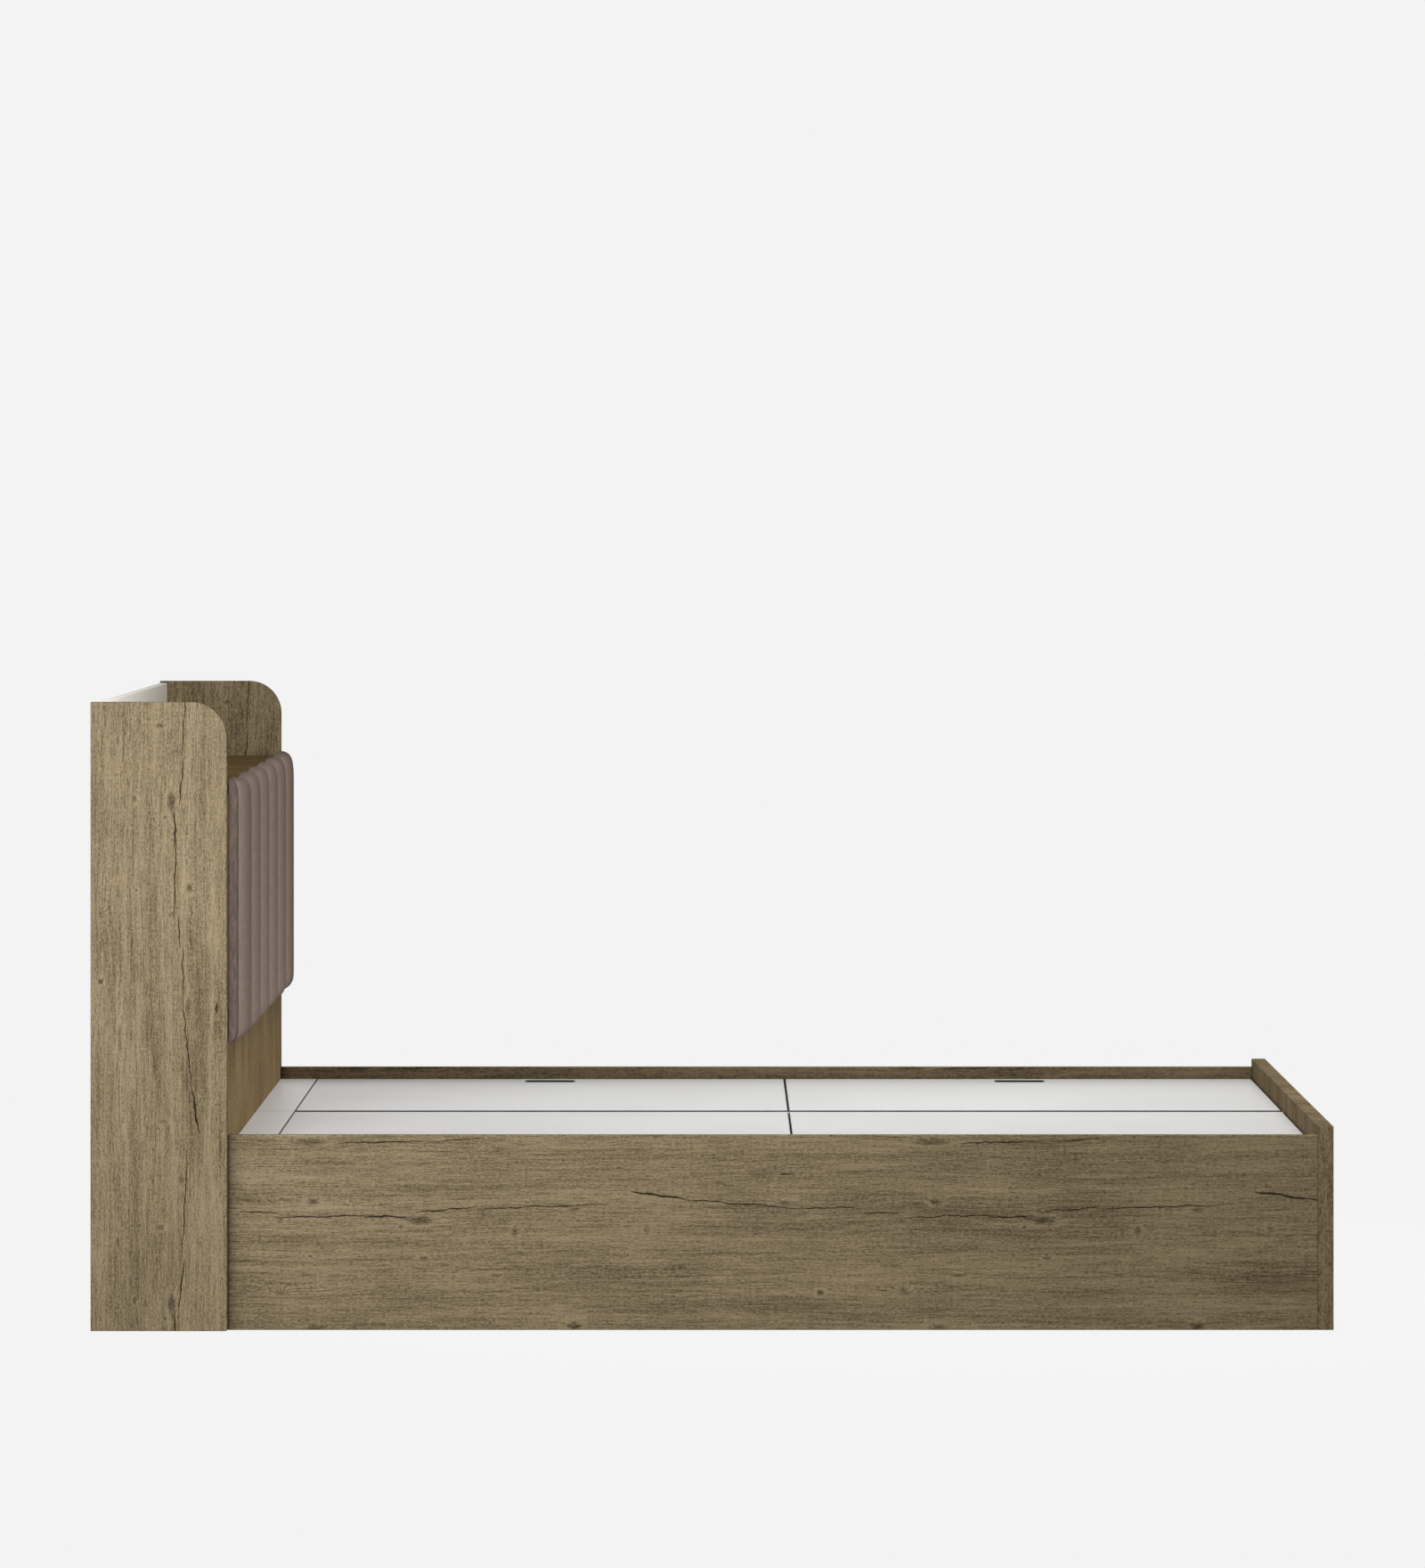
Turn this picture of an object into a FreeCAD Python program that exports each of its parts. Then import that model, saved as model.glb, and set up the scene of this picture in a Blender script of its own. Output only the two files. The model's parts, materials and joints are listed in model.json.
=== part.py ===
"""Storage bed: a shelved headboard with a channelled pad, and a box base with four hinged lids.

Millimetres. +X runs from the headboard to the foot, +Y to the right as seen from the foot, +Z up.
The origin is on the floor, under the middle of the whole bed.
"""
import FreeCAD, Part

import math
import os

# Mattress space
mattress_length = 1981.0
mattress_width = 1524.0
mattress_play = 6.0

# Board stock
panel_thickness = 18.0
back_thickness = 15.0
footboard_thickness = 28.0
lid_thickness = 18.0
floor_thickness = 9.0
edge_ease = 0.8

# Headboard
headboard_depth = 248.0
headboard_height = 1144.0
side_overhang = 18.0
side_corner_radius = 66.0
back_drop = 4.0
tray_depth = 152.0
base_height = 60.0

# Pad on the headboard
pad_height = 478.0
pad_stand = 9.0
pad_end_gap = 10.0
pad_seam_depth = 20.0
pad_crown_depth = 32.0
pad_toe_height = 60.0
pad_brow_height = 26.0
pad_corner_draw = 8.0
pad_board_thickness = 12.0
pad_board_margin = 6.0
pad_board_play = 0.3
channel_count = 6
pad_tip_share = 0.3
pad_curve_steps = 4

# Storage box
rail_height = 355.0
footboard_height = 371.0
deck_drop = 24.0
partition_crest = 2.0
lap_play = 0.3

# Deck
filler_width = 75.0
filler_gap = 1.5
filler_play = 0.5
column_gap = 3.0
rim_gap = 2.5
finger_slot_length = 100.0
finger_slot_width = 38.0
finger_slot_radius = 10.0
finger_slot_setback = 35.0

# Bearers of the deck and of the storage floor
ledger_width = 22.0
ledger_height = 40.0
cleat_width = 22.0
cleat_height = 30.0
bearer_width = 45.0
bearer_height = 22.0
floor_batten_width = 22.0
floor_batten_height = 22.0
floor_batten_rise = 12.0
floor_play = 2.0

# Continuous hinges
hinge_gap = 5.2
hinge_inset = 25.0
hinge_sink = 0.2
leaf_thickness = 1.2
leaf_height = 13.0
leaf_clearance = 0.4
knuckle_radius = 2.3
knuckle_play = 0.5
knuckle_count = 12
knuckle_sides = 8
pin_radius = 1.2
pin_play = 0.05

# Dowels and cleats of the headboard
dowel_radius = 4.0
dowel_length = 30.0
dowel_seat = 10.0
fastener_play = 0.1
shelf_dowel_shares = (0.2, 0.8)
front_dowel_shares = (0.2, 0.8)
headboard_cleat_width = 22.0
headboard_cleat_height = 30.0

# Bolts of the pad
pad_bolt_radius = 3.0
pad_bolt_reach = 8.0
pad_bolt_head_radius = 5.5
pad_bolt_head_height = 3.3
pad_bolt_column_shares = (-0.3, 0.3)
pad_bolt_row_shares = (0.3, 0.75)

# Steel brackets
corner_bracket_leg = 55.0
corner_bracket_height = 120.0
corner_bracket_rise = 110.0
corner_bracket_gauge = 3.0
partition_bracket_leg = 30.0
partition_bracket_height = 40.0
partition_bracket_rise = 150.0
partition_bracket_gauge = 2.0

# How far a cutting tool runs past the face that it cuts
cut_over = 2.0

# Places that follow from the sizes above
inner_length = mattress_length + mattress_play
inner_width = mattress_width + mattress_play
rail_inner = inner_width / 2
rail_outer = rail_inner + panel_thickness
head_outer = rail_outer + side_overhang
head_inner = head_outer - panel_thickness
overall_length = headboard_depth + inner_length + footboard_thickness
x_back = -overall_length / 2
x_front = x_back + headboard_depth
x_foot = x_front + inner_length
x_end = x_foot + footboard_thickness
deck_top = rail_height - deck_drop
deck_bottom = deck_top - lid_thickness
partition_face = panel_thickness / 2
lid_inner = partition_face + hinge_gap
lid_outer = rail_inner - rim_gap
lid_head = x_front + filler_width + filler_gap
lid_length = (x_foot - rim_gap - lid_head - column_gap) / 2
cross_middle = lid_head + lid_length + column_gap / 2
cross_head_face = cross_middle - panel_thickness / 2
cross_foot_face = cross_middle + panel_thickness / 2
floor_bottom = floor_batten_rise + floor_batten_height
hinge_axis_y = partition_face + hinge_gap / 2
hinge_axis_z = deck_top - hinge_sink - knuckle_radius
shelf_height = headboard_height - tray_depth
shelf_bottom = shelf_height - panel_thickness
base_top = base_height + panel_thickness
back_inner = x_back + back_thickness
front_inner = x_front - panel_thickness
back_top = headboard_height - back_drop
pad_top = shelf_height + pad_stand
pad_bottom = pad_top - pad_height

HANDS = {"left": -1, "right": 1}
ALONG_X = FreeCAD.Vector(1, 0, 0)
ALONG_Y = FreeCAD.Vector(0, 1, 0)
ALONG_Z = FreeCAD.Vector(0, 0, 1)


def point(x, y, z):
    return FreeCAD.Vector(x, y, z)


def band(hand, near, far):
    """Range of Y between two distances from the middle, on one side of the bed."""
    return tuple(sorted((hand * near, hand * far)))


def block(x_range, y_range, z_range):
    """Square-edged box between three ranges."""
    low = point(x_range[0], y_range[0], z_range[0])
    return Part.makeBox(
        x_range[1] - x_range[0], y_range[1] - y_range[0], z_range[1] - z_range[0], low
    )


def eased(solid):
    """The same board with all its edges taken off slightly, as a trimmed edge band leaves them."""
    return solid.makeChamfer(edge_ease, solid.Edges)


def slab(x_range, y_range, z_range):
    """Board with eased edges between three ranges."""
    return eased(block(x_range, y_range, z_range))


def rod(start, direction, radius, length):
    return Part.makeCylinder(radius, length, start, direction)


def prism(corners, direction):
    """Straight-sided outline pushed along a vector."""
    outline = Part.makePolygon(list(corners) + [corners[0]])
    return Part.Face(outline).extrude(direction)


def flatted_rod(start, radius, length):
    """Rod along X with a few flats in place of a round face, each flat at the radius from its axis."""
    half_turn = math.pi / knuckle_sides
    reach = radius / math.cos(half_turn)
    turns = [half_turn * (2 * side + 1) for side in range(knuckle_sides)]
    corners = [
        start + ALONG_Y * (reach * math.cos(turn)) + ALONG_Z * (reach * math.sin(turn)) for turn in turns
    ]
    return prism(corners, ALONG_X * length)


def along(low, high, share):
    """Place at a share of the way between two limits."""
    return low + (high - low) * share


def dowel_places(hand):
    """Dowel centres on the inner face of a headboard side, by the board that they enter."""
    face = hand * head_inner
    tray_middle = shelf_height - panel_thickness / 2
    front_middle = x_front - panel_thickness / 2
    return {
        "headboard_shelf": [
            point(along(back_inner, front_inner, share), face, tray_middle) for share in shelf_dowel_shares
        ],
        "headboard_front_panel": [
            point(front_middle, face, along(0, shelf_bottom, share)) for share in front_dowel_shares
        ],
    }


def dowel(centre, hand, play):
    """Dowel across a joint: its seat is in the side and the rest in the board."""
    outward = ALONG_Y * hand
    start = centre + outward * (dowel_seat + play) - outward * (dowel_length + 2 * play)
    return rod(start, outward, dowel_radius + play, dowel_length + 2 * play)


def headboard_cuts():
    """Tools for the dowel holes, by board."""
    cuts = {"headboard_front_panel": pad_bolt_holes()}
    for side, hand in HANDS.items():
        for board, centres in dowel_places(hand).items():
            for centre in centres:
                hole = dowel(centre, hand, fastener_play)
                cuts.setdefault(board, []).append(hole)
                cuts.setdefault("headboard_" + side + "_side", []).append(hole)
    return cuts


def headboard_dowels():
    return [
        dowel(centre, hand, 0)
        for hand in HANDS.values()
        for centres in dowel_places(hand).values()
        for centre in centres
    ]


def headboard_cleats(top):
    """A batten on the inner face of each side, under a board's end."""
    depth = (back_inner, front_inner)
    height = (top - headboard_cleat_height, top)
    return [
        block(depth, band(hand, head_inner - headboard_cleat_width, head_inner), height)
        for hand in HANDS.values()
    ]


def headboard_side(hand):
    """Tall side panel whose upper front corner is a quarter circle."""
    inner = hand * head_inner
    arc_middle_x = x_front - side_corner_radius
    arc_middle_z = headboard_height - side_corner_radius
    slant = side_corner_radius * math.sqrt(0.5)
    arc = Part.Arc(
        point(x_front, inner, arc_middle_z),
        point(arc_middle_x + slant, inner, arc_middle_z + slant),
        point(arc_middle_x, inner, headboard_height),
    )
    corners = [
        point(arc_middle_x, inner, headboard_height),
        point(x_back, inner, headboard_height),
        point(x_back, inner, 0),
        point(x_front, inner, 0),
        point(x_front, inner, arc_middle_z),
    ]
    sides = [Part.makeLine(start, end) for start, end in zip(corners, corners[1:])]
    outline = Part.Wire(sides + [arc.toShape()])
    return eased(Part.Face(outline).extrude(ALONG_Y * (hand * panel_thickness)))


def headboard():
    """The boards of the headboard box, bored for their dowels and the pad's bolts, and its cleats."""
    between_sides = (-head_inner, head_inner)
    middle_board = (-panel_thickness / 2, panel_thickness / 2)
    boards = {
        "headboard_back": slab((x_back, back_inner), between_sides, (0, back_top)),
        "headboard_front_panel": slab((front_inner, x_front), between_sides, (0, shelf_bottom)),
        "headboard_shelf": slab((back_inner, x_front), between_sides, (shelf_bottom, shelf_height)),
        "headboard_base": slab((back_inner, front_inner), between_sides, (base_height, base_top)),
        "headboard_divider": slab((back_inner, front_inner), middle_board, (base_top, shelf_bottom)),
    }
    for side, hand in HANDS.items():
        boards["headboard_" + side + "_side"] = headboard_side(hand)
    for name, tools in headboard_cuts().items():
        boards[name] = boards[name].cut(tools)
    boards["headboard_dowels"] = Part.makeCompound(headboard_dowels())
    boards["shelf_cleats"] = Part.makeCompound(headboard_cleats(shelf_bottom))
    boards["base_cleats"] = Part.makeCompound(headboard_cleats(base_height))
    return boards


def pad_section(z, depth_share, half_width):
    """Level section of the pad: a flat back, two square ends and a row of arcs, one per channel."""
    seam_x = x_front + pad_seam_depth * depth_share
    crown_x = x_front + pad_crown_depth * depth_share
    pitch = 2 * half_width / channel_count
    seams = [-half_width + pitch * index for index in range(channel_count + 1)]
    edges = [Part.makeLine(point(x_front, -half_width, z), point(seam_x, -half_width, z))]
    for start, end in zip(seams, seams[1:]):
        crown = point(crown_x, (start + end) / 2, z)
        arc = Part.Arc(point(seam_x, start, z), crown, point(seam_x, end, z))
        edges.append(arc.toShape())
    edges.append(Part.makeLine(point(seam_x, half_width, z), point(x_front, half_width, z)))
    edges.append(Part.makeLine(point(x_front, half_width, z), point(x_front, -half_width, z)))
    return Part.Wire(edges)


def pad_sections():
    """Sections from the rounded lower end, through the straight middle, to the rounded upper end."""
    half_width = head_inner - pad_end_gap
    places = []
    for step in range(pad_curve_steps + 1):
        turn = math.radians(90 * step / pad_curve_steps)
        share = along(pad_tip_share, 1, math.sin(turn))
        rise = 1 - math.cos(turn)
        places.append((pad_bottom + pad_toe_height * rise, share))
        places.append((pad_top - pad_brow_height * rise, share))
    return [
        pad_section(z, share, half_width - pad_corner_draw * (1 - share))
        for z, share in sorted(places)
    ]


def pad_board_box(play):
    half_width = head_inner - pad_end_gap - pad_corner_draw - pad_board_margin
    low = pad_bottom + pad_toe_height
    high = pad_top - pad_brow_height
    return block(
        (x_front, x_front + pad_board_thickness + play),
        (-half_width - play, half_width + play),
        (low - play, high + play),
    )


def pad_bolt_places():
    """Where the pad's bolts cross the front panel's outer face."""
    width = 2 * (head_inner - pad_end_gap)
    return [
        point(x_front, width * column, pad_bottom + pad_height * row)
        for column in pad_bolt_column_shares
        for row in pad_bolt_row_shares
    ]


def pad_bolt_holes():
    length = panel_thickness + 2 * cut_over
    radius = pad_bolt_radius + fastener_play
    return [
        rod(place - ALONG_X * (panel_thickness + cut_over), ALONG_X, radius, length)
        for place in pad_bolt_places()
    ]


def pad_bolt(place):
    """Button-head bolt from inside the headboard into the pad's board."""
    seat = place - ALONG_X * panel_thickness
    head = rod(seat - ALONG_X * pad_bolt_head_height, ALONG_X, pad_bolt_head_radius, pad_bolt_head_height)
    shank = rod(seat, ALONG_X, pad_bolt_radius, panel_thickness + pad_bolt_reach)
    return head.fuse(shank).removeSplitter()


def pad():
    """Channelled cushion over a board, with the bolts that hold it."""
    cushion = Part.makeLoft(pad_sections(), True, True).cut(pad_board_box(pad_board_play))
    seats = [
        rod(place, ALONG_X, pad_bolt_radius + fastener_play, pad_bolt_reach + fastener_play)
        for place in pad_bolt_places()
    ]
    return {
        "pad_cushion": cushion,
        "pad_board": pad_board_box(0).cut(seats),
        "pad_bolts": Part.makeCompound([pad_bolt(place) for place in pad_bolt_places()]),
    }


def angle_bracket(corner, leg_x, leg_y, leg, gauge, height):
    """Steel angle in an inside corner. leg_x and leg_y are signs that say which way its legs run."""
    outline = [
        (0, 0),
        (leg, 0),
        (leg, gauge),
        (gauge, gauge),
        (gauge, leg),
        (0, leg),
    ]
    corners = [corner + ALONG_X * (leg_x * x) + ALONG_Y * (leg_y * y) for x, y in outline]
    return prism(corners, ALONG_Z * height)


def corner_bracket_sites():
    """Inside corners of the box where rails meet the headboard and the footboard."""
    sites = []
    for hand in HANDS.values():
        for x, leg_x in ((x_front, 1), (x_foot, -1)):
            sites.append((point(x, hand * rail_inner, corner_bracket_rise), leg_x, -hand))
    return sites


def partition_bracket_sites():
    """Inside corners at the ends of the two partitions."""
    sites = []
    for hand in HANDS.values():
        rise = partition_bracket_rise
        sites.append((point(x_front, hand * partition_face, rise), 1, hand))
        sites.append((point(x_foot, hand * partition_face, rise), -1, hand))
        sites.append((point(cross_head_face, hand * rail_inner, rise), -1, -hand))
    return sites


def brackets():
    """Steel angles in the corners of the box and at the ends of the partitions."""
    corner = [
        angle_bracket(*site, corner_bracket_leg, corner_bracket_gauge, corner_bracket_height)
        for site in corner_bracket_sites()
    ]
    partition = [
        angle_bracket(*site, partition_bracket_leg, partition_bracket_gauge, partition_bracket_height)
        for site in partition_bracket_sites()
    ]
    return {
        "corner_brackets": Part.makeCompound(corner),
        "partition_brackets": Part.makeCompound(partition),
    }


def partitions():
    """Lengthwise and crosswise partitions, half-lapped where they cross."""
    lap_height = deck_bottom / 2
    crest = deck_top - partition_crest
    centre = prism(
        [
            point(x_front, -partition_face, 0),
            point(x_foot, -partition_face, 0),
            point(x_foot, -partition_face, crest),
            point(lid_head, -partition_face, crest),
            point(lid_head, -partition_face, deck_bottom),
            point(x_front, -partition_face, deck_bottom),
        ],
        ALONG_Y * panel_thickness,
    )
    cross = block((cross_head_face, cross_foot_face), (-rail_inner, rail_inner), (0, deck_bottom))
    centre_notch = block(
        (cross_head_face - lap_play, cross_foot_face + lap_play),
        (-partition_face - cut_over, partition_face + cut_over),
        (-cut_over, lap_height),
    )
    cross_notch = block(
        (cross_head_face - cut_over, cross_foot_face + cut_over),
        (-partition_face - lap_play, partition_face + lap_play),
        (lap_height, deck_bottom + cut_over),
    )
    return {"centre_partition": centre.cut(centre_notch), "cross_partition": cross.cut(cross_notch)}


def box_walls():
    """Side rails, footboard and partitions."""
    walls = partitions()
    for side, hand in HANDS.items():
        rail_band = band(hand, rail_inner, rail_outer)
        walls[side + "_rail"] = slab((x_front, x_foot), rail_band, (0, rail_height))
    walls["footboard"] = slab((x_foot, x_end), (-rail_outer, rail_outer), (0, footboard_height))
    return walls


def bay_ranges():
    """Length of each storage bay between the end walls and the cross partition."""
    return {"head": (x_front, cross_head_face), "foot": (cross_foot_face, x_foot)}


def deck_bearers():
    """Ledgers, cleats and bearers whose tops carry the lids and the filler strip."""
    pieces = {}
    bearer_middle = lid_head - filler_gap / 2
    bearer_range = (bearer_middle - bearer_width / 2, bearer_middle + bearer_width / 2)
    ledger_inner = rail_inner - ledger_width
    ledger_z = (deck_bottom - ledger_height, deck_bottom)
    cleat_z = (deck_bottom - cleat_height, deck_bottom)
    bearer_z = (deck_bottom - bearer_height, deck_bottom)
    cleat_ranges = {
        "head": (bearer_range[1], cross_head_face),
        "foot": (cross_foot_face, x_foot - ledger_width),
    }
    for side, hand in HANDS.items():
        across = band(hand, partition_face, ledger_inner)
        pieces["head_ledger_" + side] = slab((x_front, x_front + ledger_width), across, ledger_z)
        pieces["foot_ledger_" + side] = slab((x_foot - ledger_width, x_foot), across, ledger_z)
        pieces["head_bearer_" + side] = slab(bearer_range, across, bearer_z)
        for bay, length in bay_ranges().items():
            rail_side = band(hand, ledger_inner, rail_inner)
            middle_side = band(hand, partition_face, partition_face + cleat_width)
            pieces["rail_ledger_" + bay + "_" + side] = slab(length, rail_side, ledger_z)
            pieces["centre_cleat_" + bay + "_" + side] = slab(cleat_ranges[bay], middle_side, cleat_z)
    return pieces


def storage_floor():
    """A loose floor panel in each bay, on battens along the rail and along the partition."""
    pieces = {}
    batten_z = (floor_batten_rise, floor_bottom)
    panel_z = (floor_bottom, floor_bottom + floor_thickness)
    for side, hand in HANDS.items():
        battens = []
        rail_side = band(hand, rail_inner - floor_batten_width, rail_inner)
        middle_side = band(hand, partition_face, partition_face + floor_batten_width)
        across = band(hand, partition_face + floor_play, rail_inner - floor_play)
        for bay, length in bay_ranges().items():
            battens.extend(block(length, place, batten_z) for place in (rail_side, middle_side))
            inset = (length[0] + floor_play, length[1] - floor_play)
            pieces["floor_panel_" + bay + "_" + side] = block(inset, across, panel_z)
        pieces["floor_battens_" + side] = Part.makeCompound(battens)
    return pieces


def filler_strip():
    across = (-rail_inner + filler_play, rail_inner - filler_play)
    return slab((x_front, x_front + filler_width), across, (deck_bottom, deck_top))


def lid_ranges():
    """Length of each lid column."""
    head_end = lid_head + lid_length
    foot_start = head_end + column_gap
    return {"head": (lid_head, head_end), "foot": (foot_start, foot_start + lid_length)}


def finger_slot(lid_middle, hand):
    """Round-cornered hole through a lid, beside the rail."""
    outer = rail_inner - finger_slot_setback
    low = deck_bottom - cut_over
    hole = block(
        (lid_middle - finger_slot_length / 2, lid_middle + finger_slot_length / 2),
        band(hand, outer - finger_slot_width, outer),
        (low, deck_top + cut_over),
    )
    upright = [edge for edge in hole.Edges if edge.BoundBox.ZLength > lid_thickness]
    return hole.makeFillet(finger_slot_radius, upright)


def lid(length, hand):
    board = slab(length, band(hand, lid_inner, lid_outer), (deck_bottom, deck_top))
    return board.cut(finger_slot(sum(length) / 2, hand))


def hinge_leaf(length, hand, near, far, first_knuckle):
    """Hinge leaf: an upright plate with every other knuckle of the joint rolled along its top."""
    start = length[0] + hinge_inset
    end = length[1] - hinge_inset
    pitch = (end - start) / knuckle_count
    plate_y = band(hand, near, far)
    plate_top = hinge_axis_z - knuckle_radius - leaf_clearance
    plate = block((start, end), plate_y, (hinge_axis_z - leaf_height, plate_top))
    rolls = []
    for index in range(first_knuckle, knuckle_count, 2):
        low = start + pitch * index + knuckle_play / 2
        high = low + pitch - knuckle_play
        rolls.append(block((low, high), plate_y, (plate_top, hinge_axis_z)))
        axis_start = point(low, hand * hinge_axis_y, hinge_axis_z)
        rolls.append(flatted_rod(axis_start, knuckle_radius, high - low))
    bore_start = point(start - cut_over, hand * hinge_axis_y, hinge_axis_z)
    bore = flatted_rod(bore_start, pin_radius + pin_play, end - start + 2 * cut_over)
    return plate.fuse(rolls).cut(bore).removeSplitter()


def hinge_pin(length, hand):
    start = length[0] + hinge_inset
    end = length[1] - hinge_inset
    return rod(point(start, hand * hinge_axis_y, hinge_axis_z), ALONG_X, pin_radius, end - start)


def deck():
    """The four lids, each with its continuous hinge on the centre partition."""
    pieces = {"filler_strip": filler_strip()}
    for bay, length in lid_ranges().items():
        for side, hand in HANDS.items():
            place = bay + "_" + side
            fixed_far = partition_face + leaf_thickness
            moving_near = lid_inner - leaf_thickness
            pieces["lid_" + place] = lid(length, hand)
            pieces["hinge_fixed_leaf_" + place] = hinge_leaf(length, hand, partition_face, fixed_far, 0)
            pieces["hinge_lid_leaf_" + place] = hinge_leaf(length, hand, moving_near, lid_inner, 1)
            pieces["hinge_pin_" + place] = hinge_pin(length, hand)
    return pieces


def main():
    nodes = {}
    for group in (headboard, pad, box_walls, brackets, deck_bearers, storage_floor, deck):
        nodes.update(group())
    os.makedirs("parts", exist_ok=True)
    for name, shape in nodes.items():
        shape.exportStep("parts/" + name + ".step")
        print(name, len(shape.Solids), round(shape.Volume), shape.isValid())
    print(len(nodes), "nodes")


main()
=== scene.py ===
"""Finishes, pad, screws and studio for a queen storage bed with a shelved headboard.

Laid out as an add-on and run as a script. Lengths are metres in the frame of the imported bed:
+X from the headboard to the foot, +Y to the right as seen from the foot, +Z up.
"""

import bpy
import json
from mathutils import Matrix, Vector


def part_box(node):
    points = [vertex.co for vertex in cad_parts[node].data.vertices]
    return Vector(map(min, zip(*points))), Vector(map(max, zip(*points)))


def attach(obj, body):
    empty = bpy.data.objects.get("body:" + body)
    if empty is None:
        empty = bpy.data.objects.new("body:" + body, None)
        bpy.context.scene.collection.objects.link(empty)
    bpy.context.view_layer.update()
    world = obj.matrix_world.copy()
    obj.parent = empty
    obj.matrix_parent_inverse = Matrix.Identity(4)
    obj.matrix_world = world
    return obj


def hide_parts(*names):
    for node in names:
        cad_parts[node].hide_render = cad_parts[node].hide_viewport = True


bl_info = {
    "name": "Storage Bed Finish",
    "version": (1, 0, 0),
    "blender": (4, 5, 0),
    "location": "View3D > Sidebar > Bed",
    "description": "Dresses a packed storage bed: oak, white lids, channelled pad, screws and studio",
    "category": "Object",
}

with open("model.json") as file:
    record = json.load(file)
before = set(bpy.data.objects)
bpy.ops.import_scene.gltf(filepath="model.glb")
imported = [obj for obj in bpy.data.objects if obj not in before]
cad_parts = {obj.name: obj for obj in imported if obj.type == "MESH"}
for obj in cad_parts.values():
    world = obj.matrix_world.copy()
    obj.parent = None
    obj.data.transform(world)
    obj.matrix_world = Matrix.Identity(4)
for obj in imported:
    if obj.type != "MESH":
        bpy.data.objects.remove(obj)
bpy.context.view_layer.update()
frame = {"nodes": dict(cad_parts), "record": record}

import json
import math

import bpy
import numpy as np
from bpy.props import FloatProperty, FloatVectorProperty, IntProperty, PointerProperty
from mathutils import Vector

ROOT_BODY = "bedstead"
TINY = 1e-6

# Repeat of the printed oak decor: along the grain and across it
DECOR_LENGTH = 1.1355
DECOR_WIDTH = 0.62

# Stretch of the decor along boards whose grain stands upright
UPRIGHT = 1.245

# Knots and cathedral figures of the decor: along, across, half length, half width, swirl, darkness
DECOR_KNOTS = (
    (0.262, 0.200, 0.030, 0.0095, 0.008, 0.95),
    (0.238, 0.204, 0.020, 0.0050, 0.003, 0.80),
    (0.227, 0.187, 0.006, 0.0045, 0.003, 0.85),
    (0.067, 0.234, 0.013, 0.0090, 0.007, 0.80),
    (0.007, 0.199, 0.009, 0.0070, 0.005, 0.50),
    (0.058, 0.343, 0.040, 0.0090, 0.007, 0.70),
    (0.434, 0.179, 0.008, 0.0120, 0.005, 0.65),
    (0.675, 0.183, 0.008, 0.0130, 0.005, 0.55),
    (0.543, 0.219, 0.016, 0.0070, 0.005, 0.55),
    (0.269, 0.131, 0.010, 0.0060, 0.005, 0.70),
    (0.062, 0.135, 0.0035, 0.0035, 0.001, 0.90),
    (0.641, 0.136, 0.0035, 0.0035, 0.001, 0.80),
    (0.107, 0.099, 0.016, 0.0045, 0.003, 0.50),
    (0.401, 0.099, 0.014, 0.0045, 0.003, 0.50),
    (0.860, 0.103, 0.042, 0.0042, 0.002, 0.45),
    (0.010, 0.070, 0.014, 0.0090, 0.006, 0.45),
    (0.991, 0.067, 0.009, 0.0065, 0.005, 1.00),
    (0.543, 0.007, 0.016, 0.0110, 0.007, 0.90),
    (0.071, 0.003, 0.024, 0.0090, 0.006, 0.65),
    (0.890, 0.285, 0.045, 0.0100, 0.003, 0.30),
    (0.930, 0.231, 0.026, 0.0075, 0.006, 0.50),
    (0.320, 0.430, 0.018, 0.0110, 0.009, 0.80),
    (0.780, 0.500, 0.014, 0.0100, 0.008, 0.75),
    (0.560, 0.560, 0.010, 0.0080, 0.006, 0.60),
    (1.098, 0.228, 0.075, 0.0110, 0.007, 0.00),
    (0.170, 0.222, 0.085, 0.0110, 0.007, 0.00),
    (0.720, 0.094, 0.150, 0.0150, 0.008, 0.00),
    (0.040, 0.068, 0.110, 0.0130, 0.007, 0.00),
    (0.950, 0.440, 0.160, 0.0180, 0.010, 0.00),
)

# Cracks of the decor: along, across, half length, slope, width
DECOR_CRACKS = (
    (0.089, 0.207, 0.094, 0.023, 0.0020),
    (0.200, 0.206, 0.040, 0.010, 0.0030),
    (0.307, 0.219, 0.058, 0.092, 0.0022),
    (0.488, 0.225, 0.125, 0.036, 0.0019),
    (0.698, 0.245, 0.052, -0.135, 0.0036),
    (0.842, 0.230, 0.118, -0.087, 0.0020),
    (1.011, 0.222, 0.058, 0.000, 0.0018),
    (1.103, 0.214, 0.036, -0.010, 0.0018),
    (0.190, 0.342, 0.082, 0.020, 0.0020),
    (0.325, 0.346, 0.050, 0.070, 0.0016),
    (0.931, 0.284, 0.014, 0.000, 0.0026),
    (0.620, 0.480, 0.130, 0.050, 0.0020),
    (0.180, 0.560, 0.090, -0.030, 0.0018),
)

# Noise layers of the oak's tone: what they follow, repeats per metre along, across and through the board,
# octaves, roughness and weight
OAK_LAYERS = {
    "bands": ("grain", (1.3, 34.0, 6.0), 3.0, 0.55, 0.95),
    "streaks": ("grain", (7.0, 190.0, 40.0), 3.0, 0.6, 1.0),
    "fibres": ("grain", (28.0, 430.0, 200.0), 2.0, 0.6, 1.0),
    "flecks": ("grain", (150.0, 400.0, 200.0), 2.0, 0.6, 1.5),
    "patches": ("board", (3.2, 6.5, 5.0), 2.0, 0.5, 0.6),
    "saw": ("board", (330.0, 26.0, 20.0), 2.0, 0.5, 0.25),
}

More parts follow.
